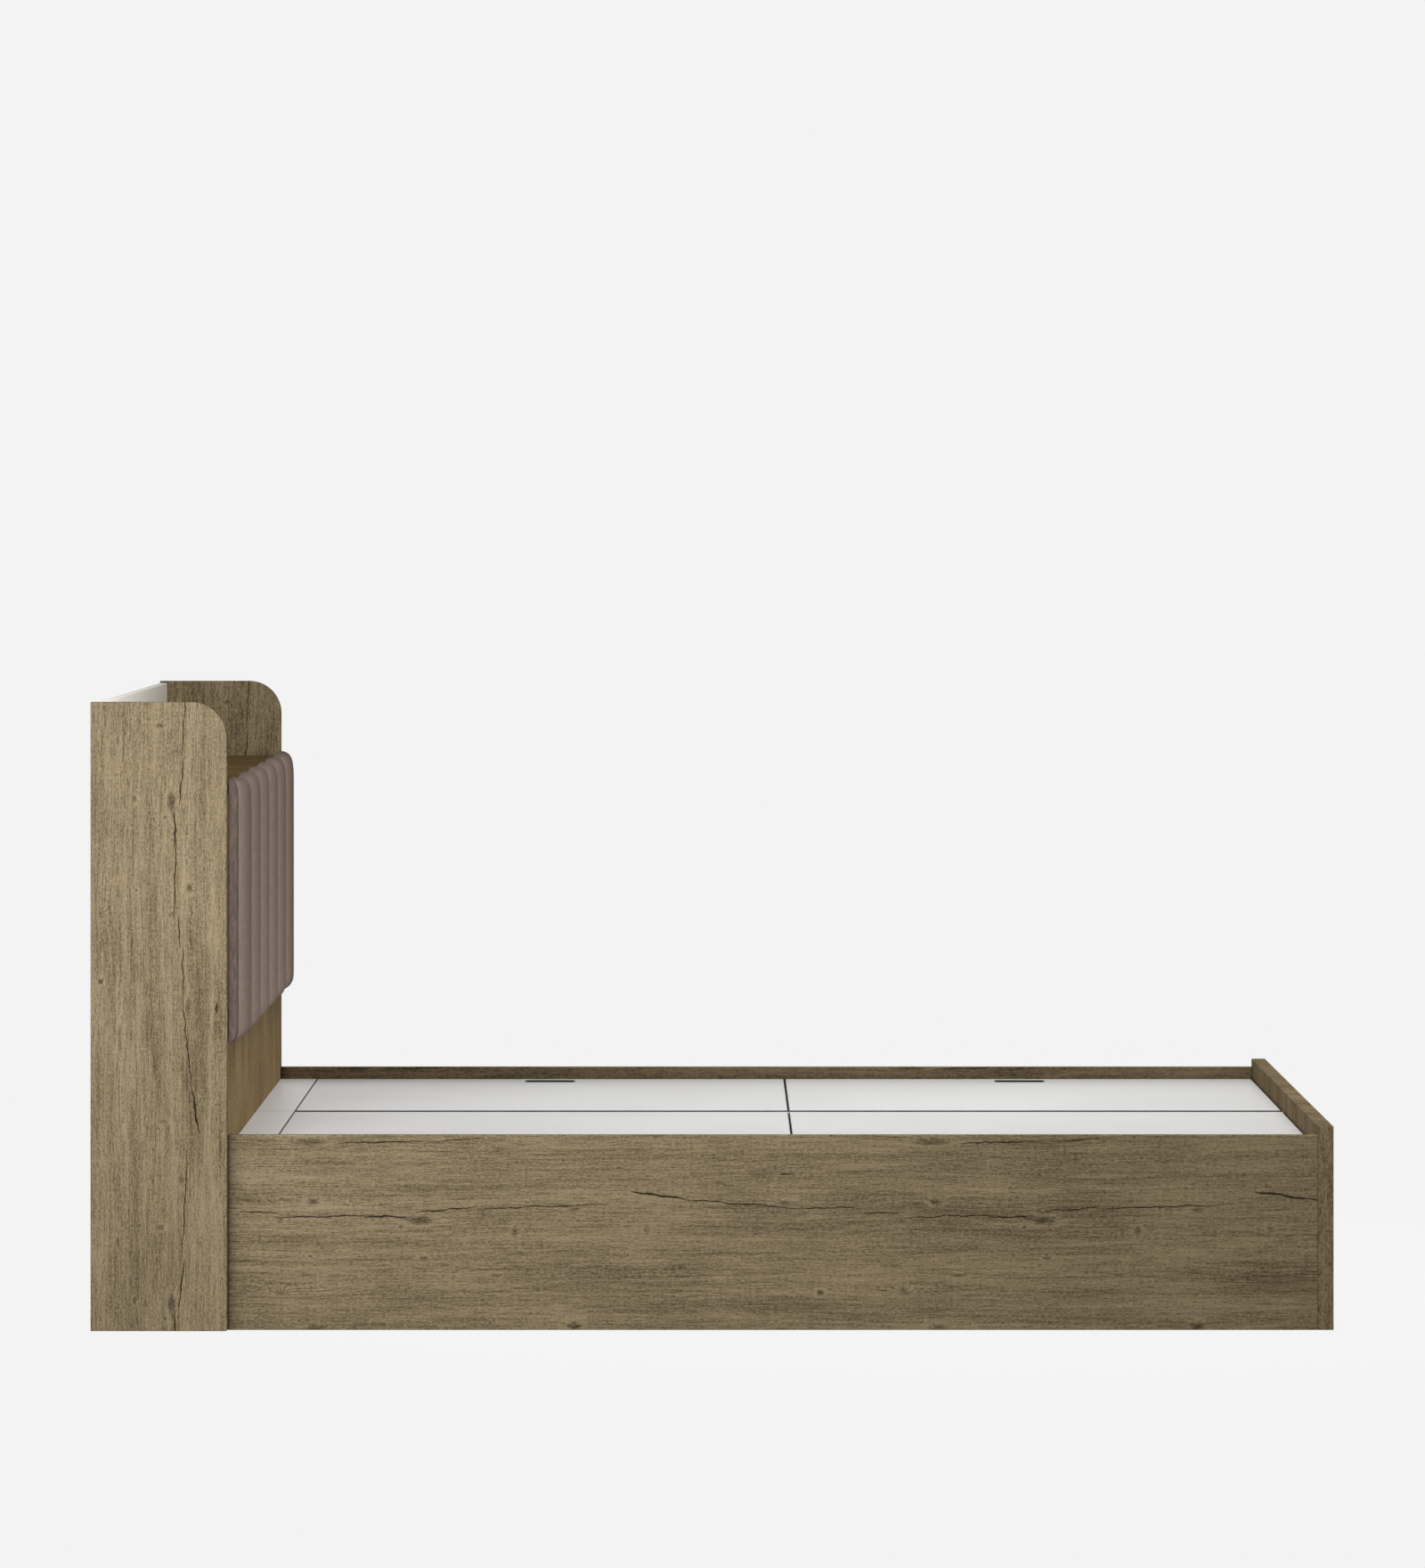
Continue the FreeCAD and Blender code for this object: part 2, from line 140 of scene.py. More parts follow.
# Darkening of the oak where boards meet, with its reach and strength: painted shade on the rails beside the
# headboard's side, which stands proud of them; a dark joint line on the rails at the footboard; and painted
# shade on the footboard's inner face
PAINTED_EDGE_SHADE = (0.012, 0.9)
FOOT_LINE = (0.0008, 0.9)
PAINTED_FOOT_SHADE = (0.0005, 0.18)

# Studio lamps and the places that they face
LAMP_TARGETS = {
    "key": (-0.7, -0.8, 0.5),
    "top": (0.52, 0.0, 0.3),
    "fill": (-0.3, -0.3, 0.5),
    "graze": (-0.85, 0.0, 0.7),
    "tray": (-1.1, 0.0, 1.1),
}

# Lamps of the sides turned away from the camera: name, middle and the boards that each one lights
SIDE_LAMPS = (
    (
        "right_lamp", (0.2, 9.0, 1.1),
        ("right_rail", "headboard_right_side", "footboard", "lid_head_right", "lid_foot_right"),
    ),
    ("back_lamp", (-9.5, 1.5, 1.2), ("headboard_back", "headboard_left_side", "headboard_right_side")),
    ("foot_lamp", (9.5, -1.0, 1.2), ("footboard",)),
)
SIDE_TARGET = (0.0, 0.0, 0.6)

# Half of the studio floor's edge, and the camera's sensor in millimetres and far clip
FLOOR_REACH = 60.0
SENSOR_WIDTH = 36.0
CLIP_END = 200.0

# Where the painted shade at the lids' gaps and finger slots ends, as a multiple of its band's thickness
GAP_SHADE_FADE = 1.2

# Points of the pad's grid: an end's straight part or its arc, a channel, the back, a rounding, the middle
END_POINTS = 6
CHANNEL_POINTS = 19
BACK_POINTS = 26
ROUND_POINTS = 15
MIDDLE_POINTS = 26

# Powers of the pad's curves: crown of a channel, pull of the seams, spacing of the rows, toe and brow
CROWN_POWER = 3.0
PULL_POWER = 2.4
SPACING_POWER = 2.2
TOE_POWER = 3.0
BROW_POWER = 4.0

# Spread of the painted shade beside a seam, share of a corner that counts as the pad's end, and gap
# behind the pad
SEAM_SPREAD = 0.006
CORNER_SHARE = 0.55
PAD_GAP = 0.0003

# Rings of a screw head from its rim to its middle: share of the radius and share of the height
HEAD_RINGS = np.array((
    (1.0, 0.0), (1.0, 0.45), (0.97, 0.62), (0.86, 0.80), (0.62, 0.94), (0.60, 0.94), (0.40, 0.98),
    (0.20, 1.0), (0.001, 1.0),
))
HEAD_TURNS = 24

# Recess of a screw head: half width of a bar and reach as shares of the radius, depth as one of the height
RECESS_BAR = 0.17
RECESS_REACH = 0.61
RECESS_DEPTH = 0.45

# Screws of the steel angles: node, distance from the corner, gauge of the legs, shares of the angle's height
ANGLE_SCREWS = (
    ("corner_brackets", 0.033, 0.003, (0.25, 0.75)),
    ("partition_brackets", 0.018, 0.002, (0.5,)),
)

# Screws of the ledgers and cleats: axis of the length, axis across the open face, whether that face looks
# away from the bed's middle (1) or toward it (-1), and shares of the length
LEDGER_SCREWS = {
    "rail_ledger": (0, 1, -1, (0.08, 0.36, 0.64, 0.92)),
    "centre_cleat": (0, 1, 1, (0.08, 0.36, 0.64, 0.92)),
    "head_ledger": (1, 0, -1, (0.1, 0.5, 0.9)),
    "foot_ledger": (1, 0, -1, (0.1, 0.5, 0.9)),
}


def a_number(name, about, default):
    """Setting that is a plain number."""
    return FloatProperty(name=name, description=about, default=default)


def a_length(name, about, default, **more):
    """Setting that is a length in metres."""
    return FloatProperty(
        name=name, description=about, default=default, unit="LENGTH", subtype="DISTANCE", **more
    )


def an_angle(name, about, degrees):
    """Setting that is an angle, given in degrees."""
    return FloatProperty(
        name=name, description=about, default=math.radians(degrees), unit="ROTATION", subtype="ANGLE"
    )


def a_share(name, about, default):
    """Setting that is a share of one."""
    return FloatProperty(name=name, description=about, default=default, subtype="FACTOR")


def a_power(name, about, default):
    """Setting that is a lamp's power in watts."""
    return FloatProperty(name=name, description=about, default=default, unit="POWER")


def a_place(name, about, default):
    """Setting that is a place in the bed's frame."""
    return FloatVectorProperty(
        name=name, description=about, default=default, unit="LENGTH", subtype="TRANSLATION"
    )


def a_colour(name, about, default):
    """Setting that is a colour."""
    return FloatVectorProperty(name=name, description=about, default=default, subtype="COLOR")


class BED_PG_stage(bpy.types.PropertyGroup):
    """Camera, lamps and ground of the studio."""

    distance: a_length("Distance", "From the camera to the near face of the headboard", 12.6)
    height: a_length("Height", "Height of the camera over the floor", 1.4875)
    near_scale: a_length(
        "Near scale", "Length on the near face that one picture row covers", 0.00162, precision=5
    )
    horizon_row: a_number("Horizon row", "Picture row of the horizon", 576.0)
    picture_rows: a_number("Picture rows", "Rows of the picture", 1760.0)
    background: a_colour("Background", "Pale colour that the camera sees", (0.896, 0.896, 0.896))
    sky: a_colour("Sky", "Colour of the soft light from all round", (1.0, 0.97, 0.92))
    sky_strength: a_number("Sky strength", "Level of the soft light", 0.09)
    ground: a_colour("Ground", "Colour of the light that the floor throws back", (0.07, 0.065, 0.058))
    shadow_share: a_share("Shadow share", "How much of the floor's shadow the camera sees", 0.05)
    key_power: a_power("Key power", "Power of the lamp at the head end, in front of the near side", 28.0)
    key_place: a_place("Key place", "Middle of the key lamp", (-1.0, -2.5, 1.35))
    key_size: a_length("Key size", "Edge of the square key lamp", 1.0)
    key_tint: a_colour("Key tint", "Colour of the key lamp", (0.97, 1.0, 1.05))
    top_power: a_power("Top power", "Power of the lamp over the foot", 11.4)
    top_place: a_place("Top place", "Middle of the top lamp", (0.9, 0.1, 4.2))
    top_size: a_length("Top size", "Edge of the square top lamp", 1.6)
    top_spread: an_angle("Top spread", "Full angle of the top lamp's beam", 60)
    fill_power: a_power("Fill power", "Power of the far lamp in front of the near side", 150.0)
    fill_place: a_place("Fill place", "Middle of the fill lamp", (0.6, -8.0, 1.6))
    fill_size: a_length("Fill size", "Edge of the square fill lamp", 2.0)
    fill_tint: a_colour("Fill tint", "Colour of the fill lamp", (1.0, 0.96, 0.90))
    graze_power: a_power("Graze power", "Power of the lamp on the front panel, pad and filler strip", 13400.0)
    graze_place: a_place("Graze place", "Middle of the graze lamp", (5.2, -39.0, 4.0))
    graze_size: a_length("Graze size", "Edge of the square graze lamp", 5.0)
    tray_power: a_power("Tray power", "Power of the lamp on the headboard's white back alone", 130.0)
    tray_place: a_place("Tray place", "Middle of the tray lamp", (-0.5, -2.5, 1.6))
    tray_size: a_length("Tray size", "Edge of the square tray lamp", 1.0)
    tray_tint: a_colour("Tray tint", "Colour of the tray lamp", (1.0, 0.92, 0.76))
    side_power: a_power("Side power", "Power of each lamp of a side turned away from the camera", 330.0)
    side_size: a_length("Side size", "Edge of each square side lamp", 2.5)


class BED_PG_oak(bpy.types.PropertyGroup):
    """Colours of the oak laminate."""

    light: a_colour("Light", "Early wood between the grain lines", (0.450, 0.353, 0.214))
    dark: a_colour("Dark", "Late wood and pores", (0.120, 0.089, 0.050))
    # The crack colour also draws the joint lines, and the painted shade on the rails beside the headboard's
    # sides and on the footboard's inner face
    crack: a_colour("Crack", "Cracks, joint lines and the middles of knots", (0.030, 0.020, 0.011))
    relief: a_length("Relief", "Depth of the pressed grain", 0.0006, precision=5)


class BED_PG_white(bpy.types.PropertyGroup):
    """Colours of the white laminate, and the painted shade at the lids' gaps and finger slots."""

    face: a_colour("Face", "White laminate", (0.86, 0.857, 0.845))
    speck: a_colour("Speck", "Faint darker cast in the white", (0.82, 0.815, 0.80))
    # Painted shade: the dark colour, band, slot inset and slot lip draw the shade in the gaps round the lids
    # and filler strip, and in and beside the finger slots
    edge: a_colour("Edge", "Dark band on the lids' edges and in their finger slots", (0.012, 0.012, 0.012))
    band: a_length("Band", "Thickness of the edge band", 0.0010, precision=5)
    slot_inset: a_length("Slot inset", "How far the record's opening stays inside a finger slot", 0.003)
    slot_radius: a_length("Slot radius", "Corner radius of a finger slot", 0.010)
    painted_slot_lip: a_length("Slot lip", "Width of the dark lip beside a finger slot, on the hinge's side", 0.012)


class BED_PG_pad(bpy.types.PropertyGroup):
    """Form and cover of the channelled pad."""

    cover: a_colour("Cover", "Taupe cover", (0.324, 0.253, 0.211))
    shade: a_colour("Shade", "Darker nap of the cover", (0.217, 0.165, 0.135))
    channels: IntProperty(name="Channels", description="Number of upright channels", default=6)
    end_depth: a_length("End depth", "Thickness of the pad at its two ends", 0.0195)
    seam_depth: a_length("Seam depth", "Thickness of the pad at its seams", 0.0136)
    crown_depth: a_length("Crown depth", "Thickness of the pad at the middle of a channel", 0.0325)
    corner: a_length("Corner", "Radius of the corners at the pad's ends", 0.008)
    lean: an_angle("Lean", "Slope at which the corners run into the channels", 14)
    toe: a_length("Toe", "Height of the rounding at the lower end", 0.035)
    brow: a_length("Brow", "Height of the rounding at the upper end", 0.070)
    scallop: a_length("Scallop", "How far the seams pull in the lower and upper ends", 0.008)
    draw: a_length("Draw", "How far the ends draw in at the top and bottom", 0.003)
    pressure: a_number("Pressure", "Pressure of the filling", 4.0)
    steps: IntProperty(name="Steps", description="Steps of the cloth simulation", default=20)
    swell: a_length("Swell", "Most that the filling may move the cover", 0.004)
    fill: a_share("Fill", "Tightness of the filling", 0.8)


class BED_PG_metal(bpy.types.PropertyGroup):
    """Metal finishes and the screws."""

    hinge: a_colour("Hinge", "Dark matt coat of the hinges", (0.030, 0.030, 0.033))
    zinc: a_colour("Zinc", "Zinc plate", (0.60, 0.61, 0.63))
    head_radius: a_length("Head radius", "Radius of a screw head", 0.0042)
    head_height: a_length("Head height", "Height of a screw head", 0.0024)


class BED_PG_wood(bpy.types.PropertyGroup):
    """Colours of the raw wood under the lids."""

    batten_light: a_colour("Batten light", "Planed softwood", (0.60, 0.43, 0.26))
    batten_dark: a_colour("Batten dark", "Grain of the softwood", (0.40, 0.25, 0.13))
    plywood_light: a_colour("Plywood light", "Raw plywood", (0.62, 0.47, 0.31))
    plywood_dark: a_colour("Plywood dark", "Grain of the plywood", (0.44, 0.30, 0.17))
    dowel_light: a_colour("Dowel light", "Beech", (0.66, 0.48, 0.32))
    dowel_dark: a_colour("Dowel dark", "Flecks of the beech", (0.48, 0.31, 0.19))


def feed(tree, socket, value):
    """Links a node's output to a socket, or sets the socket to a plain value."""
    if isinstance(value, bpy.types.NodeSocket):
        tree.links.new(value, socket)
    else:
        socket.default_value = value


def place(tree, kind, inputs=None, **settings):
    """New node with its settings and inputs."""
    made = tree.nodes.new(kind)
    for name, value in settings.items():
        setattr(made, name, value)
    for socket, value in (inputs or {}).items():
        feed(tree, made.inputs[socket], value)
    return made


def math_of(tree, operation, *values):
    """Output of a Math node."""
    return place(tree, "ShaderNodeMath", dict(enumerate(values)), operation=operation).outputs[0]


def vector_of(tree, operation, *values, output="Vector"):
    """Output of a Vector Math node."""
    return place(tree, "ShaderNodeVectorMath", dict(enumerate(values)), operation=operation).outputs[output]


def parts_of(tree, vector):
    """Outputs with the three parts of a vector."""
    return place(tree, "ShaderNodeSeparateXYZ", {0: vector}).outputs


def vector_from(tree, *parts):
    """Vector put together from its parts."""
    return place(tree, "ShaderNodeCombineXYZ", dict(enumerate(parts))).outputs[0]


def gap_of(tree, value, plane):
    """Distance between a value and a plane."""
    return math_of(tree, "ABSOLUTE", math_of(tree, "SUBTRACT", value, plane))


def noise_of(tree, vector, repeats=None, scale=1.0, detail=2.0, roughness=0.5, distortion=0.0):
    """Noise from 0 to 1 about one half, with its own repeats per metre on each axis."""
    if repeats:
        vector = vector_of(tree, "MULTIPLY", vector, repeats)
    return place(tree, "ShaderNodeTexNoise", {
        "Vector": vector, "Scale": scale, "Detail": detail, "Roughness": roughness, "Distortion": distortion,
    }).outputs["Fac"]


def sway_of(tree, noise, weight, middle=0.0):
    """A middle plus a weighted noise, where the noise counts from one half."""
    return math_of(tree, "MULTIPLY_ADD", math_of(tree, "SUBTRACT", noise, 0.5), weight, middle)


def ramp_of(tree, value, low=0.0, high=1.0, to_low=0.0, to_high=1.0):
    """Smooth step between two values."""
    inputs = {"Value": value, "From Min": low, "From Max": high, "To Min": to_low, "To Max": to_high}
    return place(tree, "ShaderNodeMapRange", inputs, interpolation_type="SMOOTHSTEP").outputs["Result"]


def mix_of(tree, share, first, second):
    """Colour mixed from two. The node's sockets for colours go by number, as their names repeat."""
    inputs = {"Factor": share, 6: first, 7: second}
    return place(tree, "ShaderNodeMix", inputs, data_type="RGBA", clamp_factor=True).outputs[2]


def colour(values):
    """Colour with full cover."""
    return (*values, 1.0)


def object_place(tree):
    """Object coordinates, which at rest are the bed's own, as every object stands at the origin."""
    return place(tree, "ShaderNodeTexCoord").outputs["Object"]


def new_group(name, inputs, outputs):
    """Empty shader node group with sockets by kind. Gives the tree, its inputs and its outputs."""
    tree = bpy.data.node_groups.new(name, "ShaderNodeTree")
    for way, sockets in (("INPUT", inputs), ("OUTPUT", outputs)):
        for kind, names in sockets.items():
            for socket in names:
                tree.interface.new_socket(name=socket, in_out=way, socket_type="NodeSocket" + kind)
    given = tree.nodes.new("NodeGroupInput").outputs
    result = tree.nodes.new("NodeGroupOutput").inputs
    return tree, given, result


def filled_group(tree, group, inputs):
    """Outputs of a group placed in a tree with its inputs set or linked."""
    made = tree.nodes.new("ShaderNodeGroup")
    made.node_tree = group
    for socket, value in inputs.items():
        feed(tree, made.inputs[socket], value)
    return made.outputs


def shared_group(name, maker):
    """A node group by name, made the first time that it is asked for."""
    return bpy.data.node_groups.get(name) or maker()


def decor_offset(tree, spot, centre):
    """Offset from a centre, wrapped into one repeat of the decor."""
    half = (DECOR_LENGTH / 2, DECOR_WIDTH / 2, 1.0)
    offset = vector_of(tree, "SUBTRACT", spot, centre)
    return vector_of(tree, "WRAP", offset, half, tuple(-value for value in half))


def knot_group():
    """Bell over a knot: its height bends the grain, its ragged middle is dark, and pale wood rings it.

    The bell is e to the minus of the squared distance, where the distance is the offset from the centre,
    wrapped into one repeat of the decor and divided by the knot's half sizes.
    """
    ragged_gain = 3.2
    ragged_loss = -0.65
    dark_range = (0.22, 0.95)
    tree, given, result = new_group(
        "Oak knot", {"Vector": ("Place", "Centre", "Reach"), "Float": ("Swirl", "Core")},
        {"Float": ("Lift", "Dark", "Halo")},
    )
    offset = decor_offset(tree, given["Place"], given["Centre"])
    offset = vector_of(tree, "DIVIDE", offset, given["Reach"])
    square = vector_of(tree, "DOT_PRODUCT", offset, offset, output="Value")
    bell = math_of(tree, "EXPONENT", math_of(tree, "MULTIPLY", square, -1.0))
    ragged = noise_of(tree, given["Place"], (95.0, 300.0, 1.0), detail=4.0, roughness=0.75, distortion=0.6)
    ragged = math_of(tree, "MULTIPLY_ADD", ragged, ragged_gain, ragged_loss)
    dark = ramp_of(tree, math_of(tree, "MULTIPLY", bell, ragged), *dark_range)
    ring = math_of(tree, "MULTIPLY", bell, math_of(tree, "SUBTRACT", 1.0, bell))
    feed(tree, result["Halo"], math_of(tree, "MULTIPLY", ring, given["Core"]))
    feed(tree, result["Lift"], math_of(tree, "MULTIPLY", bell, given["Swirl"]))
    feed(tree, result["Dark"], math_of(tree, "MULTIPLY", dark, given["Core"]))
    return tree


def crack_group():
    """Dark line along the grain that wanders, tapers to both ends and breaks up.

    The distance is the offset across the grain, less the slope and a slow noise along the grain. The line is
    where it is under the width, which falls to nothing at the half length.
    """
    broken_gain = 1.5
    broken_base = 0.1
    solid_share = 0.25
    faded_taper = 0.12
    tree, given, result = new_group(
        "Oak crack", {"Vector": ("Place", "Centre"), "Float": ("Half Length", "Slope", "Width", "Wander")},
        {"Float": ("Dark",)},
    )
    parts = parts_of(tree, decor_offset(tree, given["Place"], given["Centre"]))
    drift = math_of(tree, "MULTIPLY", parts[0], given["Slope"])
    across = math_of(tree, "SUBTRACT", math_of(tree, "SUBTRACT", parts[1], drift), given["Wander"])
    share = math_of(tree, "DIVIDE", parts[0], given["Half Length"])
    taper = math_of(tree, "SUBTRACT", 1.0, math_of(tree, "MULTIPLY", share, share))
    taper = math_of(tree, "MAXIMUM", taper, 0.0)
    broken = noise_of(tree, given["Place"], (60.0, 30.0, 1.0))
    broken = math_of(tree, "MULTIPLY_ADD", broken, broken_gain, broken_base)
    width = math_of(tree, "MULTIPLY", given["Width"], broken)
    width = math_of(tree, "MULTIPLY", width, math_of(tree, "SQRT", taper))
    width = math_of(tree, "MAXIMUM", width, TINY)
    near = math_of(tree, "DIVIDE", math_of(tree, "ABSOLUTE", across), width)
    line = ramp_of(tree, near, low=solid_share, to_low=1.0, to_high=0.0)
    feed(tree, result["Dark"], math_of(tree, "MULTIPLY", line, ramp_of(tree, taper, high=faded_taper)))
    return tree


def oak_group():
    """Printed oak: grain lines that part round the knots, pores, cracks, patches and saw marks.

    The grain coordinate is the place across the board plus a slow waviness and the bells of all knots, so the
    level lines of every noise stretched along the board run round them. The tone is a base plus the weighted
    layers, pores and pale wood, and a sine of the grain coordinate that is strongest at the knots.
    """
    base_tone = 0.62
    pore_range = (0.58, 0.72)
    pore_weight = -0.35
    pore_height = -0.35
    halo_weight = 0.9
    wander_reach = 0.011
    wave_reach = 0.020
    ring_rate = 1650.0
    ring_bend = 9.0
    ring_weight = 0.16
    ring_base = 0.02
    figured_range = (0.0015, 0.009)
    tone_range = (-0.08, 1.18)
    rough_ramp = (-0.1, 1.1, 0.62, 0.46)
    core_share = 0.72
    split_share = 0.96
    core_depth = 0.6
    fibre_height = 0.35
    knots = knot_group()
    cracks = crack_group()
    tree, given, result = new_group(
        "Oak decor", {"Vector": ("Place",), "Color": ("Light", "Dark", "Crack")},
        {"Color": ("Color",), "Float": ("Roughness", "Height")},
    )
    flat = vector_of(tree, "MULTIPLY", given["Place"], (1.0, 1.0, 0.0))
    lift = 0.0
    core = 0.0
    halo = 0.0
    for along, across, length, width, swirl, darkness in DECOR_KNOTS:
        knot = filled_group(tree, knots, {
            "Place": flat, "Centre": (along, across, 0.0), "Reach": (length, width, 1.0), "Swirl": swirl,
            "Core": darkness,
        })
        lift = math_of(tree, "ADD", lift, knot["Lift"])
        core = math_of(tree, "MAXIMUM", core, knot["Dark"])
        halo = math_of(tree, "MAXIMUM", halo, knot["Halo"])
    wander = sway_of(tree, noise_of(tree, flat, (26.0, 3.0, 1.0), detail=3.0, roughness=0.6), wander_reach)
    split = 0.0
    for along, across, length, slope, width in DECOR_CRACKS:
        crack = filled_group(tree, cracks, {
            "Place": flat, "Centre": (along, across, 0.0), "Half Length": length, "Slope": slope,
            "Width": width, "Wander": wander,
        })
        split = math_of(tree, "MAXIMUM", split, crack["Dark"])
    parts = parts_of(tree, given["Place"])
    wave = sway_of(tree, noise_of(tree, given["Place"], (2.4, 7.0, 3.0)), wave_reach)
    grain = math_of(tree, "ADD", math_of(tree, "ADD", parts[1], wave), lift)
    ways = {"grain": vector_from(tree, parts[0], grain, parts[2]), "board": given["Place"]}
    pores = noise_of(tree, ways["grain"], (60.0, 900.0, 300.0), detail=1.0)
    pores = ramp_of(tree, pores, *pore_range)
    tone = math_of(tree, "MULTIPLY_ADD", pores, pore_weight, base_tone)
    tone = math_of(tree, "MULTIPLY_ADD", halo, halo_weight, tone)
    layers = {}
    for name, (way, repeats, octaves, roughness, weight) in OAK_LAYERS.items():
        layers[name] = noise_of(tree, ways[way], repeats, detail=octaves, roughness=roughness)
        tone = sway_of(tree, layers[name], weight, tone)
    bend = math_of(tree, "MULTIPLY", layers["bands"], ring_bend)
    rings = math_of(tree, "SINE", math_of(tree, "MULTIPLY_ADD", grain, ring_rate, bend))
    figured = ramp_of(tree, math_of(tree, "ABSOLUTE", lift), *figured_range)
    figured = math_of(tree, "MULTIPLY_ADD", figured, ring_weight, ring_base)
    tone = math_of(tree, "MULTIPLY_ADD", rings, figured, tone)
    wood = mix_of(tree, ramp_of(tree, tone, *tone_range), given["Dark"], given["Light"])
    wood = mix_of(tree, math_of(tree, "MULTIPLY", core, core_share), wood, given["Crack"])
    wood = mix_of(tree, math_of(tree, "MULTIPLY", split, split_share), wood, given["Crack"])
    feed(tree, result["Color"], wood)
    feed(tree, result["Roughness"], ramp_of(tree, tone, *rough_ramp))
    deep = math_of(tree, "MAXIMUM", split, math_of(tree, "MULTIPLY", core, core_depth))
    fine = math_of(tree, "MULTIPLY", pores, pore_height)
    fine = math_of(tree, "MULTIPLY_ADD", layers["fibres"], fibre_height, fine)
    feed(tree, result["Height"], math_of(tree, "SUBTRACT", fine, deep))
    return tree


def grain_group():
    """Plain straight grain for raw wood: stretched noise between two colours."""
    fibre_weight = 0.5
    tone_range = (0.25, 0.75)
    tree, given, result = new_group(
        "Raw grain", {"Vector": ("Place",), "Color": ("Light", "Dark"), "Float": ("Fineness",)},
        {"Color": ("Color",), "Float": ("Height",)},
    )
    spot = given["Place"]
    scale = given["Fineness"]
    lines = noise_of(tree, spot, (3.0, 70.0, 70.0), scale, detail=4.0, roughness=0.6, distortion=0.4)
    fibres = noise_of(tree, spot, (25.0, 600.0, 600.0), scale)
    tone = sway_of(tree, fibres, fibre_weight, lines)
    wood = mix_of(tree, ramp_of(tree, tone, *tone_range), given["Dark"], given["Light"])
    feed(tree, result["Color"], wood)
    feed(tree, result["Height"], tone)
    return tree


def mottle_group():
    """Soft clouds over fine speckle, for coats, plates, cloth and smooth laminate."""
    speck_weight = 0.5
    mask_range = (0.3, 0.7)
    tree, given, result = new_group(
        "Mottle", {"Vector": ("Place",), "Color": ("First", "Second"), "Float": ("Cloud", "Speckle")},
        {"Color": ("Color",), "Float": ("Mask", "Height")},
    )
    clouds = noise_of(tree, given["Place"], scale=given["Cloud"], detail=3.0, roughness=0.55)
    specks = noise_of(tree, given["Place"], scale=given["Speckle"], roughness=0.6)
    mask = ramp_of(tree, sway_of(tree, specks, speck_weight, clouds), *mask_range)
    feed(tree, result["Color"], mix_of(tree, mask, given["First"], given["Second"]))
    feed(tree, result["Mask"], mask)
    feed(tree, result["Height"], specks)
    return tree


def mottle_of(tree, first, second, cloud, speckle):
    """Outputs of the mottle of two colours, with the repeats per metre of its clouds and specks."""
    return filled_group(tree, shared_group("Mottle", mottle_group), {
        "Place": object_place(tree), "First": colour(first), "Second": colour(second), "Cloud": cloud,
        "Speckle": speckle,
    })


def emptied(thing):
    """Node tree of a new material or world, without its first nodes."""
    thing.use_nodes = True
    thing.node_tree.nodes.clear()
    return thing.node_tree


def new_material(name):
    """Material without nodes. Gives the material and its tree."""
    material = bpy.data.materials.new(name)
    return material, emptied(material)


def surface(tree, look, height, distance, strength):
    """Principled shader with its inputs set or linked, over a bump."""
    bump = place(tree, "ShaderNodeBump", {"Height": height, "Distance": distance, "Strength": strength})
    shader = place(tree, "ShaderNodeBsdfPrincipled", {**look, "Normal": bump.outputs["Normal"]})
    place(tree, "ShaderNodeOutputMaterial", {"Surface": shader.outputs["BSDF"]})


def board_place(tree, axes, scale, shift, mirrored):
    """Board's own coordinates: along the grain, across it and through it, from the bed's axes.

    A share of the depth is added to the place across, so that the grain goes on round the board's edges. A
    mirrored board takes the size of its depth alone, and so both sides of the bed have one decor.
    """
    depth_share = 0.6
    parts = parts_of(tree, object_place(tree))
    along = math_of(tree, "MULTIPLY_ADD", parts[axes[0]], scale[0], shift[0])
    across = math_of(tree, "MULTIPLY_ADD", parts[axes[1]], scale[1], shift[1])
    depth = parts[axes[2]]
    if mirrored:
        depth = math_of(tree, "ABSOLUTE", depth)
    depth = math_of(tree, "ADD", depth, shift[2])
    across = math_of(tree, "MULTIPLY_ADD", depth, depth_share, across)
    return vector_from(tree, along, across, depth)


def shade_of(tree, value, plane, reach, strength):
    """Dark share beside a plane: the strength times e to the minus of the distance over the reach."""
    fall = math_of(tree, "EXPONENT", math_of(tree, "DIVIDE", gap_of(tree, value, plane), -reach))
    return math_of(tree, "MULTIPLY", fall, strength)


def oak_material(name, settings, axes, scale, shift, mirrored=False, tint_and_shade=(1.0, 1.0, 1.0), joints=()):
    """Oak laminate on a board whose grain follows the first of its axes.

    Each entry of the darkening list is a place on X where the board meets another, with the reach and
    strength
    of its darkening: a dark joint line at a butt joint, and painted shade beside a board that stands proud
    and on a face that lies in shade. The tint and shade scales both decor colours: a tone of the board's own
    on the front panel, and painted shade on the shelf and footboard.
    """
    material, tree = new_material(name)
    decor = filled_group(tree, shared_group("Oak decor", oak_group), {
        "Place": board_place(tree, axes, scale, shift, mirrored), "Crack": colour(settings.crack),
        "Light": colour(np.multiply(settings.light, tint_and_shade)),
        "Dark": colour(np.multiply(settings.dark, tint_and_shade)),
    })
    wood = decor["Color"]
    # Dark joint lines, and painted shade beside the proud headboard sides and on the footboard's inner face,
    # mixed toward the crack colour
    for plane, reach, strength in joints:
        length = parts_of(tree, object_place(tree))[0]
        wood = mix_of(tree, shade_of(tree, length, plane, reach, strength), wood, colour(settings.crack))
    look = {"Base Color": wood, "Roughness": decor["Roughness"], "Specular IOR Level": 0.0}
    surface(tree, look, decor["Height"], settings.relief, strength=0.5)
    return material


